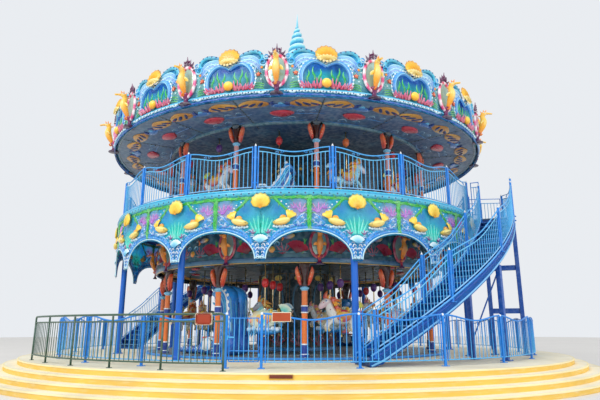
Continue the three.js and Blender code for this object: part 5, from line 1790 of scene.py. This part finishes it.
# %% Red oval with its sea-horse, and the whole board
OVAL_SIZE = size(0.9, 0.75, 0.86)
inner_foot = oval_foot.moved(shift(0, -0.06, 0) @ size(0.8, 0.5, 1))
red_oval = joined([oval_frame, glass, back_rim, inner_foot])
x, y, z = red_oval.points.T
off_frame = np.abs(np.hypot(x / MIRROR_WIDE, (z - MIRROR_HEIGHT) / MIRROR_TALL) - 1)
red_oval.tip("B01832", (off_frame < 0.25) * 0.85)
orange_horse = gold_horse.moved(SAME).tip("FF7C12", np.full(len(gold_horse.points), 0.7))
inner_oval = joined([red_oval, orange_horse]).moved(shift(0, -0.02, -3.57 * 0.86) @ OVAL_SIZE)
for angle in UPPER_START + SECTOR * np.arange(12):
    for shape in (inner_half, inner_half.moved(MIRROR), inner_sun):
        inner_shapes.append(wrapped(shape, INNER_RING - 0.01, angle))
    inner_shapes.append(inner_oval.moved(standing(INNER_RING + 0.01, angle)))
piece("inner_board_reliefs", "upper_turntable", inner_shapes, ["inner_board"], "teal_panels")

# %% [markdown]
# ## Cores
# The machinery in the middle is hidden by panels: twelve faces with a raised frame, a mirror and a coral
# arch. The same panel, scaled, dresses the drum of the lower deck and the narrower one above.


# %% One panel of a core
def core_panel(width, low, high):
    """A painted panel with a moulded frame, an oval mirror and coral at its foot."""
    w, tall = width / 2 - 0.04, high - low
    middle = (low + high) / 2 + 0.1 * tall
    corners = [(-w, 0, low + 0.1), (-w, 0, high - 0.1), (w, 0, high - 0.1), (w, 0, low + 0.1)]
    angles = np.linspace(0, math.tau, 16, endpoint=False)
    oval = [(0.62 * w * math.cos(a), 0, middle + 0.22 * tall * math.sin(a)) for a in angles]
    coral = branching(0.2 * tall, 45, 5, 0.028, ("7A1030", "D8284A", "F58AA0"))
    shell = scallop(0.8 * w, 0.6 * w, 7, 0.05, ("F7A41A", "FFD24A", "FFF0A0"), wall=0.01)
    return joined([
        tubes([corners], [0.022], "6E5428", turns=0, closed=True),
        tubes([oval], [0.028], "2478A0", turns=2, closed=True),
        # The oval mirror is dark teal enamel: a painted reflection.
        egg((0, 0.01, middle), (0.6 * w, 0.02, 0.215 * tall), "16343C", 16),
        coral.moved(shift(0, 0, low + 0.14)),
        shell.moved(shift(0, 0, high - 0.42 * w - 0.2)),
        curl(0.3 * w, 1.2, 0.18).moved(leaning(0.5 * w, low + 0.3), leaning(-0.5 * w, low + 0.3, 0, -1)),
    ])


def skirting(low, *profile):
    return turned(profile, 48, "2A84C4", lift=low)


def core_drum(*profile):
    return turned(profile, 24, finish="mural").fade("z", "0F3E4C", "0C3040", "082430")


# %% Both cores and the mast
low, high = levels("lower_core")
top = LOWER_DECK + 0.001
shapes = [
    core_drum((1.3, top), (1.3, high), (0.96, high), (0.96, low), (1.13, low), (1.13, top), (1.3, top)),
    core_panel(0.66, LOWER_DECK + 0.02, 3.1).moved(*ring(1.292, LOWER_START + SECTOR, 12)),
    skirting(LOWER_DECK, (1.3, 0), (1.34, 0.01), (1.335, 0.1), (1.3, 0.12)),
]
piece("lower_core_panels", "lower_turntable", shapes, ["lower_core"], "teal_panels")
core_low, mast_top = levels("upper_core")
ceiling_low = levels("canopy_ceiling")[0]
top = ceiling_low - 0.001
mast = [(0.3, ceiling_low), (0.3, mast_top - 0.02), (0.28, mast_top), (0, mast_top)]
shapes = [
    core_drum((0, core_low), (0.88, core_low), (0.88, top), (0.3, top)),
    core_panel(0.44, core_low + 0.02, ceiling_low - 0.05).moved(*ring(0.872, UPPER_START + SECTOR, 12)),
    skirting(core_low, (0.88, 0), (0.9, 0.01), (0.9, 0.1), (0.88, 0.12)),
    turned(mast, 32, "8FA6B4", "steel"),
]
band = [(0.3, -0.03), (0.315, -0.02), (0.315, 0.02), (0.3, 0.03)]
shapes += [turned(band, 32, "C8D4DA", "steel", lift=z) for z in (7.05, 7.62, 8.2, 9.0, 9.8)]
piece("upper_core_panels", "upper_turntable", shapes, ["upper_core"], "teal_panels")

# %% [markdown]
# ## Ceilings and roof
# Both ceilings keep the CAD model's plates, because their slots for the poles are already right. The plates
# get a painted sea, and flat reliefs are hung under them: fish, shells and swirls between dotted ribs.

# %% Painted sea on the ceilings
def ceiling_sea(name, stops):
    """Painted water whose colour changes with the distance from the axis."""
    first, last = stops[0][0], stops[-1][0]

    def pattern(tree, base):
        parts = node(tree, "ShaderNodeSeparateXYZ", {0: object_place(tree)})
        squares = [sum_of(tree, "MULTIPLY", parts[i], parts[i]) for i in (0, 1)]
        reach = sum_of(tree, "SQRT", sum_of(tree, "ADD", *squares), 0.0)
        ramp = tree.nodes.new("ShaderNodeValToRGB")
        while len(ramp.color_ramp.elements) < len(stops):
            ramp.color_ramp.elements.new(0.5)
        for element, (radius, code) in zip(ramp.color_ramp.elements, stops):
            element.position = (radius - first) / (last - first)
            element.color = rgba(code)
        return water_light(tree, feed(tree, ramp, {0: ranged(tree, reach, first, last)})[0])

    look = dict(gloss=(0.4, 0.6), tone=(0.9, 0.12), dust=0.0, bump=0.08)
    return painted(name, paint="7C9AA0", pattern=pattern, **look)


def repaint(name, material):
    """Gives one material to a CAD node that stays in the scene."""
    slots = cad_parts[name].data.materials
    slots.clear()
    slots.append(material)


upper_stops = ((0.3, "0A2C40"), (2.6, "133E58"), (4.2, "264E78"), (5.3, "4E6E96"), (6.3, "70829C"))
repaint("canopy_ceiling", ceiling_sea("canopy_sea", upper_stops))
repaint("lower_ceiling", ceiling_sea("lower_sea", ((1.3, "08242E"), (3.0, "0E3A44"), (4.6, "1C5462"))))

# %% Reliefs to hang under the ceilings
half_clam = [(-0.34, 0.02), (-0.2, 0.15), (0.0, 0.19), (0.2, 0.15), (0.34, 0.02), (0.18, -0.15), (0.0, -0.2)]
clam = relief(half_clam + [(-0.18, -0.15)], 0.04, 0.02).fade("x", "A8142A", "D8203C", "A8142A")
# Pink on the clam's proudest part is a painted highlight.
clam.crest("F05A6A", 0.5)
fish_body = [(-0.25, 0), (-0.1, 0.11), (0.12, 0.09), (0.26, 0), (0.1, -0.08), (-0.1, -0.1)]
blue_fish = joined([
    # Pale blue on the fish's proudest part is a painted highlight.
    relief(fish_body, 0.035, 0.02, "1C4FA8").crest("5A9AE0", 0.6),
    relief([(0.24, 0), (0.38, 0.11), (0.35, 0.0), (0.38, -0.11)], 0.03, 0.012, "2A6CC0", 2),
    relief([(-0.06, 0.09), (0.02, 0.19), (0.12, 0.08)], 0.025, 0.01, "5FC0F0", 2),
    dots([(-0.16, 0.02)], 0.02, FOAM, 0.03),
])
fish_body = [(-0.42, 0.02), (-0.2, 0.22), (0.1, 0.28), (0.36, 0.12), (0.42, -0.02), (0.2, -0.12)]
fish_body.append((-0.16, -0.14))
stripe = [(-0.05, -0.13), (0.035, -0.13), (0.05, 0.08), (0, 0.15), (-0.045, 0.07)]
stripe = relief(stripe, 0.05, 0.015, "16306E", 2)
angel_fish = joined([
    relief(fish_body, 0.035, 0.025).fade("x", "F0B454", "C8843A"),
    stripe.moved(leaning(-0.24, 0.05, 60), leaning(-0.02, 0.05, 48), leaning(0.2, 0.05, 34)),
    relief([(0.36, 0.0), (0.58, 0.14), (0.52, 0.0), (0.58, -0.14)], 0.03, 0.012, "1C3E8C", 2),
    dots([(-0.3, 0.03)], 0.028, "C8321E", 0.045),
])
swirl_line = [(-0.6, -0.12), (-0.3, -0.2), (0.05, -0.14), (0.4, -0.2), (0.66, -0.12)]
swirls = curl(0.16, 1.3, 0.1, ("2C70B8", "5FA0D0", "A8D4EA"), 0.4)
swirls = joined([
    swirls.moved(leaning(-0.2, 0), leaning(0.25, 0.05, 0, -0.8)),
    stroke(swirl_line, [0.012, 0.026, 0.022, 0.026, 0.01], "3C80C0", 0.5),
])
rib_dots = dots([(0, 0.12 * k) for k in range(17)], 0.022, "1A2430", 0.012, 0.5)
rib_line = box(0.035, 0.012, 2.05, 0.003, "5F7076", "matte")


def hung(shape, radius, angle, height):
    """Lays a bench relief under a ceiling, its top pointing outwards."""
    return shape.moved(standing(radius, angle, height) @ turn(90, "X"))


# %% Reliefs under the canopy
shapes = []
canopy_rib = joined([rib_dots.moved(shift(0, -0.004, 0)), rib_line])
for bay in range(16):
    angle = FIRST_SEAHORSE + BAY * bay
    for shape, reach, way in (
        (canopy_rib, 4.12, BAY / 2), (clam, 5.12, 0), (blue_fish.moved(MIRROR if bay % 2 else SAME), 5.62, 0),
        (angel_fish, 5.72, -6.9), (angel_fish.moved(MIRROR), 5.72, 6.9), (swirls, 4.7, 0),
        (swirls.moved(size(0.8, 1, 0.8)), 5.2, 7.2),
    ):
        shapes.append(hung(shape, reach, angle + way, ceiling_low))
edge_line = [(6.28, 0), (6.26, -0.03), (6.2, -0.02), (6.19, 0)]
shapes.append(turned(edge_line, 128, "4E7C92", smooth=True, lift=ceiling_low))
piece("canopy_ceiling_reliefs", "upper_turntable", shapes)

# %% Reliefs under the lower ceiling
low = levels("lower_ceiling")[0]
shapes = []
for angle in LOWER_START + SECTOR * np.arange(12):
    for shape, wide, tall, reach, way in (
        (joined([rib_dots, rib_line]), 1, 1.25, 1.7, 0), (blue_fish, 0.8, 0.8, 3.55, 6.5),
        (swirls, 0.6, 0.6, 2.9, 7), (clam, 0.7, 0.7, 3.6, -6.5),
    ):
        shapes.append(hung(shape.moved(size(wide, 1, tall)), reach, angle + way, low))
for k in range(24):
    side = 1 if k % 2 else -1
    angle = LOWER_START + 15 * k + 4.2 * side
    shapes.append(hung(angel_fish.moved(size(side * 0.8, 1, 0.62)), 4.18, angle, low))
gold_edge = [(4.5, 0), (4.47, -0.03), (4.4, -0.03), (4.37, 0)]
shapes.append(turned(gold_edge, 120, "E0A83A", smooth=True, lift=low))
shapes.append(turned([(4.36, 0), (4.34, -0.015), (4.3, 0)], 120, "8C2A1C", smooth=True, lift=low))
piece("lower_ceiling_reliefs", "lower_turntable", shapes)

# %% Roof: sheets between standing seams
ROOF_EDGE, ROOF_HOLE, ROOF_FOOT = 6.295, 0.345, 7.4
top = levels("canopy_roof")[1]
profile = [(ROOF_EDGE, ROOF_FOOT - 0.04), (ROOF_EDGE, ROOF_FOOT), (ROOF_HOLE, top)]
profile += [(0.31, top), (0.31, top - 0.04)]
roof = turned(profile + profile[:1], 64, "BFD8E4", "sheet")
slope = math.degrees(math.atan2(top - ROOF_FOOT, ROOF_EDGE - ROOF_HOLE))
length = math.hypot(top - ROOF_FOOT, ROOF_EDGE - ROOF_HOLE)
seam = box(0.035, length, 0.03, 0.006, "A6C4D4", "sheet")
seam = seam.moved(shift(0, -ROOF_EDGE, ROOF_FOOT - 0.01) @ turn(slope, "X") @ shift(0, length / 2, 0))
shapes = [roof, seam.moved(*ring(0, FIRST_SEAHORSE, 32))]
piece("roof_sheets", "upper_turntable", shapes, ["canopy_roof"], "roof_sheet")

# %% Hidden steel
for name in ("centre_bearing", "upper_tower"):
    steel = dict(paint="66727A", gloss=(0.35, 0.55), dust=0.3, bump=0.04, pattern=brushed_steel)
    repaint(name, painted(f"{name}_steel", **steel))

# %% [markdown]
# ## Mounts
# Forty-two animals rise and fall on poles: horses with a fish's tail, round fish and striped fish.
# A body is a tube whose radius swells and thins along a spine, because that gives the smooth, full forms of
# cast fibreglass from a few numbers. Manes, fins, eyes and saddles are added on top. Each animal is modelled
# once, facing +X with its pole at the origin, and is copied to its places.

# %% Parts that the animals share
def loft(points, radii, paints, wide):
    """A body along a spine of (x, z) points, made narrower or wider across."""
    made = tubes([[(x, 0, z) for x, z in points]], [radii], sides=10)
    made.points[:, 1] *= wide
    return made.fade("z", *paints)


def flames(root, count, reach, thick, paints, sweep, spread, out=0.0):
    """A mane: flame-shaped locks that lean back from points along a neck, on both sides of it."""
    made = []
    shares = np.linspace(0, 1, count)
    for k, (x, z) in enumerate(sampled(root, shares)):
        angle = math.radians(sweep - spread * shares[k] + 8 * math.sin(k * 2.1))
        tall = reach * (0.8 + 0.3 * math.sin(k * 1.9 + 1))
        mid = (x + 0.5 * tall * math.cos(angle), z + 0.5 * tall * math.sin(angle))
        tip = (x + tall * math.cos(angle + 0.45), z + tall * math.sin(angle + 0.45))
        for side in (-1, 1):
            root_y, tip_y = side * (0.35 * thick + out), side * (0.2 * thick + 0.5 * out)
            path = [(x, root_y, z), (mid[0], root_y * 1.2, mid[1]), (tip[0], tip_y, tip[1])]
            lock = tubes([path], [[thick, thick * 0.8, thick * 0.12]], turns=2)
            made.append(lock.fade("x", paints[(k + 1) % len(paints)], paints[k % len(paints)]))
    return joined(made)


def paired_fins(shape, place, lean, out):
    """A fin on each flank that leans back and stands out."""
    return both_sides(shape.moved(shift(*place) @ turn(lean, "Y") @ turn(out, "Z")))


def eye(x, y, z, reach):
    """A domed eye on each side of a head."""
    return both_sides(joined([
        egg((0, 0, 0), (reach, reach * 0.5, reach * 1.15), FOAM, 10, 6),
        egg((reach * 0.2, -reach * 0.3, 0), (reach * 0.6, reach * 0.24, reach * 0.66), "1C4FA8", 8, 6),
        # The small white ball on the pupil is a painted glint.
        ball(reach * 0.2, FOAM, around=6, up=4).moved(shift(reach * 0.35, -reach * 0.6, reach * 0.3)),
    ]).moved(shift(x, -y, z)))


def saddle(paint, trim):
    """A saddle with a raised cantle and a cloth under it."""
    cloth = [(-0.2, 0.12), (0.16, 0.12), (0.17, -0.06), (-0.02, -0.13), (-0.2, -0.06)]
    cloth = relief(cloth, 0.03, 0.01, trim, 2)
    return joined([
        egg((-0.02, 0, 0.13), (0.2, 0.15, 0.075), paint, 14),
        egg((-0.19, 0, 0.19), (0.045, 0.13, 0.09), trim),
        egg((0.15, 0, 0.19), (0.03, 0.05, 0.06), trim, 10, 6),
        both_sides(cloth.fade("z", paint, trim).moved(shift(0, -0.155, 0))),
    ])


# %% Horse's head and chest on a fish's curled tail
def tailed_horse(coat, belly, mane, cloth, fins, face="F7C7D2"):
    trunk = [(0.26, 0.12), (0.2, -0.02), (0, -0.04), (-0.22, -0.08), (-0.42, -0.08), (-0.55, 0.04)]
    trunk += [(-0.56, 0.18), (-0.48, 0.24)]
    head = [(0.29, 0.38), (0.4, 0.42), (0.52, 0.33), (0.61, 0.25), (0.64, 0.23)]
    fore = [(0.24, -0.09, -0.06), (0.38, -0.11, -0.16), (0.44, -0.11, -0.29), (0.38, -0.11, -0.36)]
    hind = [(-0.2, -0.09, -0.1), (-0.3, -0.11, -0.2), (-0.22, -0.11, -0.3), (-0.29, -0.11, -0.38)]
    legs = []
    for path, thick in ((fore, 0.065), (hind, 0.075)):
        leg = tubes([path], [[thick, 0.045, 0.032, 0.038]], sides=8, turns=2)
        legs.append(both_sides(leg).fade("z", "E8C33A", coat, coat))
    bridle = [
        [(0.53, -0.085, 0.3775), (0.53, 0, 0.42), (0.53, 0.085, 0.3775)],
        [(0.34, -0.11, 0.2), (0.44, 0, 0.1), (0.34, 0.11, 0.2)],
    ]
    rib = [(0.3, -0.1, -0.16), (0.3, 0, -0.17), (0.3, 0.1, -0.16)]
    rib = tubes([rib], [[0.014, 0.02, 0.014]], belly, turns=2)
    return joined([
        loft(trunk, [0.1, 0.17, 0.165, 0.13, 0.09, 0.06, 0.04, 0.012], (belly, coat, coat), 0.92),
        loft([(0.2, 0.04), (0.29, 0.14), (0.33, 0.25), (0.36, 0.36)], [0.16, 0.14, 0.12, 0.1], (coat,), 0.85),
        loft(head, [0.08, 0.125, 0.095, 0.07, 0.034], (face, coat), 0.8),
        both_sides(cone(0.032, 0.11, coat, top=0.004).moved(shift(0.36, -0.06, 0.49) @ turn(-14, "Y"))),
        flames([(0.31, 0.44), (0.24, 0.32), (0.19, 0.2), (0.15, 0.08)], 7, 0.28, 0.052, mane, 160, -35, 0.09),
        flames([(0.45, 0.5), (0.3, 0.47)], 4, 0.19, 0.046, mane, 80, -60, 0.03),
        fan(0.2, 60, 5, 0.03, fins, wall=0.012).moved(leaning(-0.48, 0.24, -20, y=0.01)),
        flames([(-0.5, 0.2), (-0.56, 0.04)], 4, 0.2, 0.04, mane, 200, -50, 0.02),
        paired_fins(fan(0.17, 45, 4, 0.025, fins, wall=0.012), (0.12, -0.15, 0.02), -115, 16),
        *legs,
        tubes(bridle, [[0.012] * 3] * 2, cloth, turns=2),
        saddle(cloth, "F6C93C"),
        eye(0.45, 0.088, 0.43, 0.038),
        rib.moved(*[shift(-0.1 * k, 0, 0.008 * k) for k in range(5)]),
    ])


# %% Round fish: a big face, a foam skirt and a tail held up
SPRAY = (SEA_DARK, SEA_BRIGHT, "BFE8FA")


def round_fish(face, back, belly, fins):
    body = egg((0.06, 0, 0.0), (0.42, 0.19, 0.25), back, 20, 12).fade("x", back, back, face)
    body.tip(belly, (-body.points[:, 2] - 0.02) * 7)
    lips = [
        [(0.45, -0.075, -0.02), (0.485, 0, 0.02), (0.45, 0.075, -0.02)],
        [(0.44, -0.07, -0.045), (0.475, 0, -0.075), (0.44, 0.07, -0.045)],
    ]
    froth = ball(0.07, around=8, up=5).fade("z", "4FB2F2", FOAM)
    skirt = [shift(0.4 - 0.13 * k, s * 0.1, -0.27 + 0.02 * (k % 2)) for k in range(7) for s in (-1, 1)]
    under = [(0.42, -0.3), (0.1, -0.33), (-0.25, -0.33), (-0.46, -0.28)]
    return joined([
        body,
        loft([(-0.26, 0.02), (-0.42, 0.08), (-0.52, 0.2)], [0.13, 0.07, 0.035], (back,), 0.7),
        fan(0.26, 50, 6, 0.03, fins, wall=0.014).moved(leaning(-0.5, 0.14, -24, y=0.01)),
        flames([(0.2, 0.22), (-0.05, 0.24), (-0.28, 0.16)], 6, 0.16, 0.03, fins, 120, -20),
        tubes(lips, [[0.014, 0.03, 0.014]] * 2, "E0242C", sides=8),
        both_sides(egg((0.36, -0.12, -0.04), (0.055, 0.0275, 0.055), "FF9E86", 10, 6)),
        paired_fins(fan(0.2, 50, 5, 0.03, fins, wall=0.012), (0.05, -0.18, -0.02), -125, 22),
        froth.moved(*skirt),
        loft(under, [0.04, 0.085, 0.085, 0.04], (SEA_DARK, SEA_BRIGHT), 1.3),
        flames([(0.36, -0.3), (-0.4, -0.3)], 7, 0.16, 0.03, SPRAY, 250, -60, 0.05),
        saddle("F26A2E", "FFD24A"),
        eye(0.34, 0.13, 0.12, 0.052),
    ]).moved(shift(0, 0, -0.06))


# %% Striped fish with a forked tail
def striped_fish(paint, band, fins):
    body = egg((0.08, 0, 0.0), (0.42, 0.16, 0.22), paint, 28, 16).fade("z", "FFC07A", paint, paint)
    for middle, half in ((0.3, 0.05), (0.05, 0.055), (-0.18, 0.04)):
        body.tip(band, (half - np.abs(body.points[:, 0] - middle)) * 60)
    tail = joined([stroke(path, [0.05, thick, 0.012], flat=0.5, sides=8, turns=3) for path, thick in (
        ([(-0.38, 0.03), (-0.48, 0.16), (-0.6, 0.3)], 0.075),
        ([(-0.38, 0.03), (-0.49, -0.08), (-0.6, -0.18)], 0.07),
    )])
    mouth = [(0.475, -0.05, -0.03), (0.5, 0, -0.02), (0.475, 0.05, -0.03)]
    return joined([
        body,
        loft([(-0.24, 0.0), (-0.36, 0.02), (-0.42, 0.03)], [0.11, 0.06, 0.05], (paint,), 0.6),
        tail.fade("x", "FFFFFF", fins[0], paint),
        flames([(0.22, 0.2), (0.0, 0.22), (-0.2, 0.15)], 6, 0.13, 0.03, fins, 110, -20),
        paired_fins(fan(0.19, 50, 5, 0.03, fins, wall=0.012), (0.12, -0.16, -0.03), -125, 22),
        tubes([mouth], [[0.012, 0.02, 0.012]], "B8281E", sides=8),
        flames([(0.34, -0.16), (-0.3, -0.14)], 6, 0.2, 0.034, SPRAY, 250, -50, 0.03),
        saddle("2C6FD8", "FFD24A"),
        eye(0.4, 0.09, 0.07, 0.042),
    ])


# %% The five designs
RED_MANE = ("E8342A", "FF8A1E", "FFD23A")
PINK_MANE = ("F07AA8", "FFC24A", "FFE27A")
GOLD_MANE = ("F5761E", "FFB52E", "FFE04A")
ORANGE_FINS = ("F58A1E", "FFC83C", "FFE98C")
DESIGNS = {
    "white_pink": tailed_horse("F4F4EE", "FFFFFF", RED_MANE, "D8265A", ("7AC83C", "D8E84A", "FFF08A")),
    "white_gold": tailed_horse("EAF6FA", "FFFFFF", PINK_MANE, "E23A2E", ORANGE_FINS, "F4E2C8"),
    "cyan": tailed_horse("A8E4F0", "F2FCFF", GOLD_MANE, "C8342E", ("1E86E0", "62C8F4", "E8FBFF"), "F6D8DC"),
    "round": round_fish("FFC06A", "DDEFD0", "F4FBE8", ("2AA8D8", "7ADCC8", "F2FBE8")),
    "striped": striped_fish("FF6A1E", "FFF6EA", ("FF9A2E", "FFB84A", "FFF0C8")),
}
for name, design in DESIGNS.items():
    print(name, design.triangles(), "triangles")

# %% [markdown]
# Each set of mounts hangs from crank arms above the ceiling: an arm for each sector, a curved link between
# them, and a pole with a coloured ball for each animal. The sets rise and fall in turn, so each set is one
# piece on its own body.

# %% Poles and cranks
SEAT = 1.0
ROWS = (4.0, 3.2, 2.4)
ROW_SCALES = (1.0, 0.9, 0.72)
UPPER_ROW = 3.9
LOWER_CRANK, UPPER_CRANK = 3.54, 7.25
LOWER_BALL, UPPER_BALL = 2.48, 6.66
RED, VIOLET, ORANGE = "E0161E", "56207E", "F0701E"
POLE_PAINT = "F3D58A"


def pole_with_ball(deck, crank, ball_height, ball_paint):
    """A polished pole from under the saddle to the crank, with collars and a ball."""
    low, high = deck + SEAT - 0.5, crank + 0.04
    return joined([
        cone(0.019, high - low, "E9C46A", "pole", 10, 0.019).moved(shift(0, 0, low)),
        cone(0.028, 0.16, POLE_PAINT, "pole", 10, 0.028).moved(shift(0, 0, deck + SEAT + 0.12)),
        ball(0.03, POLE_PAINT, "pole", 10, 6).moved(shift(0, 0, low)),
        egg((0, 0, ball_height), (0.1, 0.1, 0.135), ball_paint, 14, 9),
        cone(0.045, 0.03, POLE_PAINT, "pole", 10, 0.02).moved(shift(0, 0, ball_height + 0.12)),
    ])


def spoke(angle, start, end, height):
    """A crank arm along a radius."""
    return box(0.07, end - start, 0.08, 0.008, "D8DDE0").moved(standing((start + end) / 2, angle, height))


def link(first, last, radius, height):
    """A flat bar bent round the axis between two angles."""
    low, high, inner, outer = height + 0.01, height + 0.07, radius - 0.04, radius + 0.04
    profile = [(inner, low), (outer, low), (outer, high), (inner, high), (inner, low)]
    steps = max(2, int(abs(last - first) / 4))
    return turned(profile, steps, "D8DDE0", "steel", arc=last - first, start=first)


# %% Sets of the lower and the upper deck
LOWER_PATTERN = (
    ("round", "cyan", "striped"), ("white_pink", "round", "white_gold"), ("striped", "white_gold", "round"),
    ("cyan", "striped", "white_pink"),
)
for number in range(6):
    shapes = []
    angles = [LOWER_START + SECTOR * (2 * number + k - 0.5) for k in (0, 1)]
    for index, angle in zip((2 * number, 2 * number + 1), angles):
        rows = (2,) if index in (5, 11) else (0, 1, 2)
        shapes.append(spoke(angle, 1.3, ROWS[rows[0]] + 0.04, LOWER_CRANK))
        pole = pole_with_ball(LOWER_DECK, LOWER_CRANK, LOWER_BALL, RED if index in (0, 3, 6) else VIOLET)
        for row in rows:
            animal = DESIGNS[LOWER_PATTERN[index % 4][row]].moved(turn(180) @ size(*[ROW_SCALES[row]] * 3))
            shapes.append(animal.moved(standing(ROWS[row], angle, LOWER_DECK + SEAT)))
            shapes.append(pole.moved(standing(ROWS[row], angle)))
    shapes.append(link(*angles, 1.7, LOWER_CRANK))
    nodes = [f"lower_gallopers_{number + 1}"]
    piece(f"lower_mounts_{number + 1}", f"lower_set_{number + 1}", shapes, nodes, "mount_fibreglass")
UPPER_NAMES = ("white_gold", "cyan", "white_pink")
for number in range(4):
    shapes = []
    sectors = [3 * number + k for k in range(3) if 3 * number + k not in (0, 6)]
    angles = [UPPER_START + SECTOR * (index - 0.5) for index in sectors]
    for index, angle in zip(sectors, angles):
        paint = ORANGE if index in (1, 8) else (RED, VIOLET)[index % 2]
        pole = pole_with_ball(UPPER_DECK, UPPER_CRANK, UPPER_BALL, paint)
        shapes.append(spoke(angle, 0.3, UPPER_ROW + 0.04, UPPER_CRANK))
        shapes.append(DESIGNS[UPPER_NAMES[index % 3]].moved(standing(UPPER_ROW, angle, UPPER_DECK + SEAT)))
        shapes.append(pole.moved(standing(UPPER_ROW, angle)))
    shapes.append(link(angles[0], angles[-1], 1.0, UPPER_CRANK))
    nodes = [f"upper_gallopers_{number + 1}"]
    piece(f"upper_mounts_{number + 1}", f"upper_set_{number + 1}", shapes, nodes, "mount_fibreglass")

# %% [markdown]
# ## Wave chariots
# Where a pair would block the view, a bench sits under a rolling wave instead. The wave's side view is a
# closed outline given thickness, and strokes of blue, aqua and foam follow its curl on both sides.


# %% Chariots
def chariot(depth, height, rear, crest, front, sag=0.0):
    shoulder, face = crest - 0.2 * height, -depth / 2
    back = [(-rear, 0.28 * height), (0.45 * shoulder - 0.55 * rear, (0.62 - 0.32 * sag) * height)]
    back += [(shoulder, (0.88 - 0.3 * sag) * height), (crest, 0.985 * height)]
    outline = [(-rear + 0.03, 0.02), (0, 0.02), (front - 0.03, 0.02), (front - 0.02, 0.1 * height)]
    outline += [(crest + x * height, z * height) for x, z in (
        (0.5, 0.11), (0.35, 0.2), (0.05, 0.22), (-0.08, 0.5), (-0.02, 0.72), (0.15, 0.82), (0.155, 0.9),
    )]
    lines = []
    for k, shade in enumerate((FOAM, SEA_BRIGHT, "7CD4FA", SEA_DARK, FOAM, SEA_BRIGHT)):
        inset = 0.045 + 0.075 * k * height / 1.9
        path = [(x + inset * 0.8, z - inset) for x, z in back]
        path.append((crest + (0.12 - 0.018 * k) * height, (0.88 - 0.035 * k) * height))
        line = stroke(path, [0.012, 0.026, 0.03, 0.028, 0.01], shade, turns=3)
        lines.append(line.moved(shift(0, face + 0.01, 0)))
    for k, shade in enumerate(("7CD4FA", SEA, SEA_BRIGHT, SEA_DARK, "3FA8F0", SEA, "7CD4FA")):
        across = (k / 6 - 0.5) * (depth - 0.16)
        path = [(x + 0.02, across * (0.7 + 0.3 * z / height), z - 0.012) for x, z in back]
        path.append((crest + 0.1 * height, across * 0.9, 0.955 * height))
        lines.append(tubes([path], [[0.02, 0.045, 0.05, 0.045, 0.02]], shade))
    swirl = curl(0.19 * height, 1.5, 0.13, (SEA_DARK, "7CD4FA", FOAM), 0.8, 6)
    lines.append(swirl.moved(*[leaning(x, z * height, 0, scale, face + 0.005) for x, z, scale in (
        (-0.62 * rear + 0.38 * crest, 0.36, 1.0), (0.35 * crest - 0.3, 0.16, 0.55), (-0.86 * rear, 0.14, 0.6),
    )]))
    foam_places = sampled(back, np.linspace(0, 1, 9)) + (0.02, -0.02)
    lines.append(dots(foam_places, 0.05, FOAM, -face - 0.02))
    foot_curl = curl(0.075, 1.0, 0.22, (SEA, FOAM, FOAM))
    foot_places = [shift(x, face, 0.07 * height) for x in np.linspace(-0.85 * rear, front - 0.15, 9)]
    lines.append(foot_curl.moved(*foot_places))
    shell = scallop(0.36, 0.34, 9, 0.05, ("BFD8E8", "FFFFFF", "F2F6F8"), wall=0.015)
    lines.append(shell.moved(shift(crest + 0.22 * height, face + 0.01, 0.06 * height)))
    seat = box(0.34 * height + 0.1, depth - 0.12, 0.05, 0.02, "E8433A", "enamel", 2)
    backrest = box(0.07, depth - 0.12, 0.3 * height, 0.03, "F0554A", "enamel", 2)
    half = relief(outline + back[::-1], depth / 2, 0.05).fade("z", SEA_DARK, "0A62D2", "107AE2", "1E9AF0")
    return joined([
        both_sides(half),
        both_sides(joined(lines)),
        seat.moved(shift(crest + 0.2 * height, 0, 0.225 * height)),
        backrest.moved(leaning(crest, 0.26 * height, -10)),
    ])


lower_chariot = chariot(0.75, 1.9, 1.34, -0.85, 0.9)
upper_chariot = chariot(0.76, 1.35, 0.85, 0.25, 0.85, sag=1.0)
fluke = fan(0.3, 44, 4, 0.05, (SEA_DARK, SEA_BRIGHT, FOAM), wall=0.02).moved(leaning(-0.66, 0.36, -24))
upper_chariot = joined([upper_chariot, both_sides(fluke)])
steady = pole_with_ball(UPPER_DECK, ceiling_low - 0.04, UPPER_BALL, RED)
for number in (1, 2):
    place = standing(3.775, LOWER_START + SECTOR * (6 * number - 1.5), LOWER_DECK) @ turn(180)
    wave = lower_chariot.moved(place)
    piece(f"lower_wave_{number}", "lower_turntable", [wave], [f"lower_chariot_{number}"], "blue_fibreglass")
for number in (1, 2):
    angle = UPPER_START + SECTOR * (6 * number - 6.5)
    shapes = [upper_chariot.moved(standing(3.8, angle, UPPER_DECK)), steady.moved(standing(3.8, angle))]
    piece(f"upper_wave_{number}", "upper_turntable", shapes, [f"upper_chariot_{number}"], "blue_fibreglass")
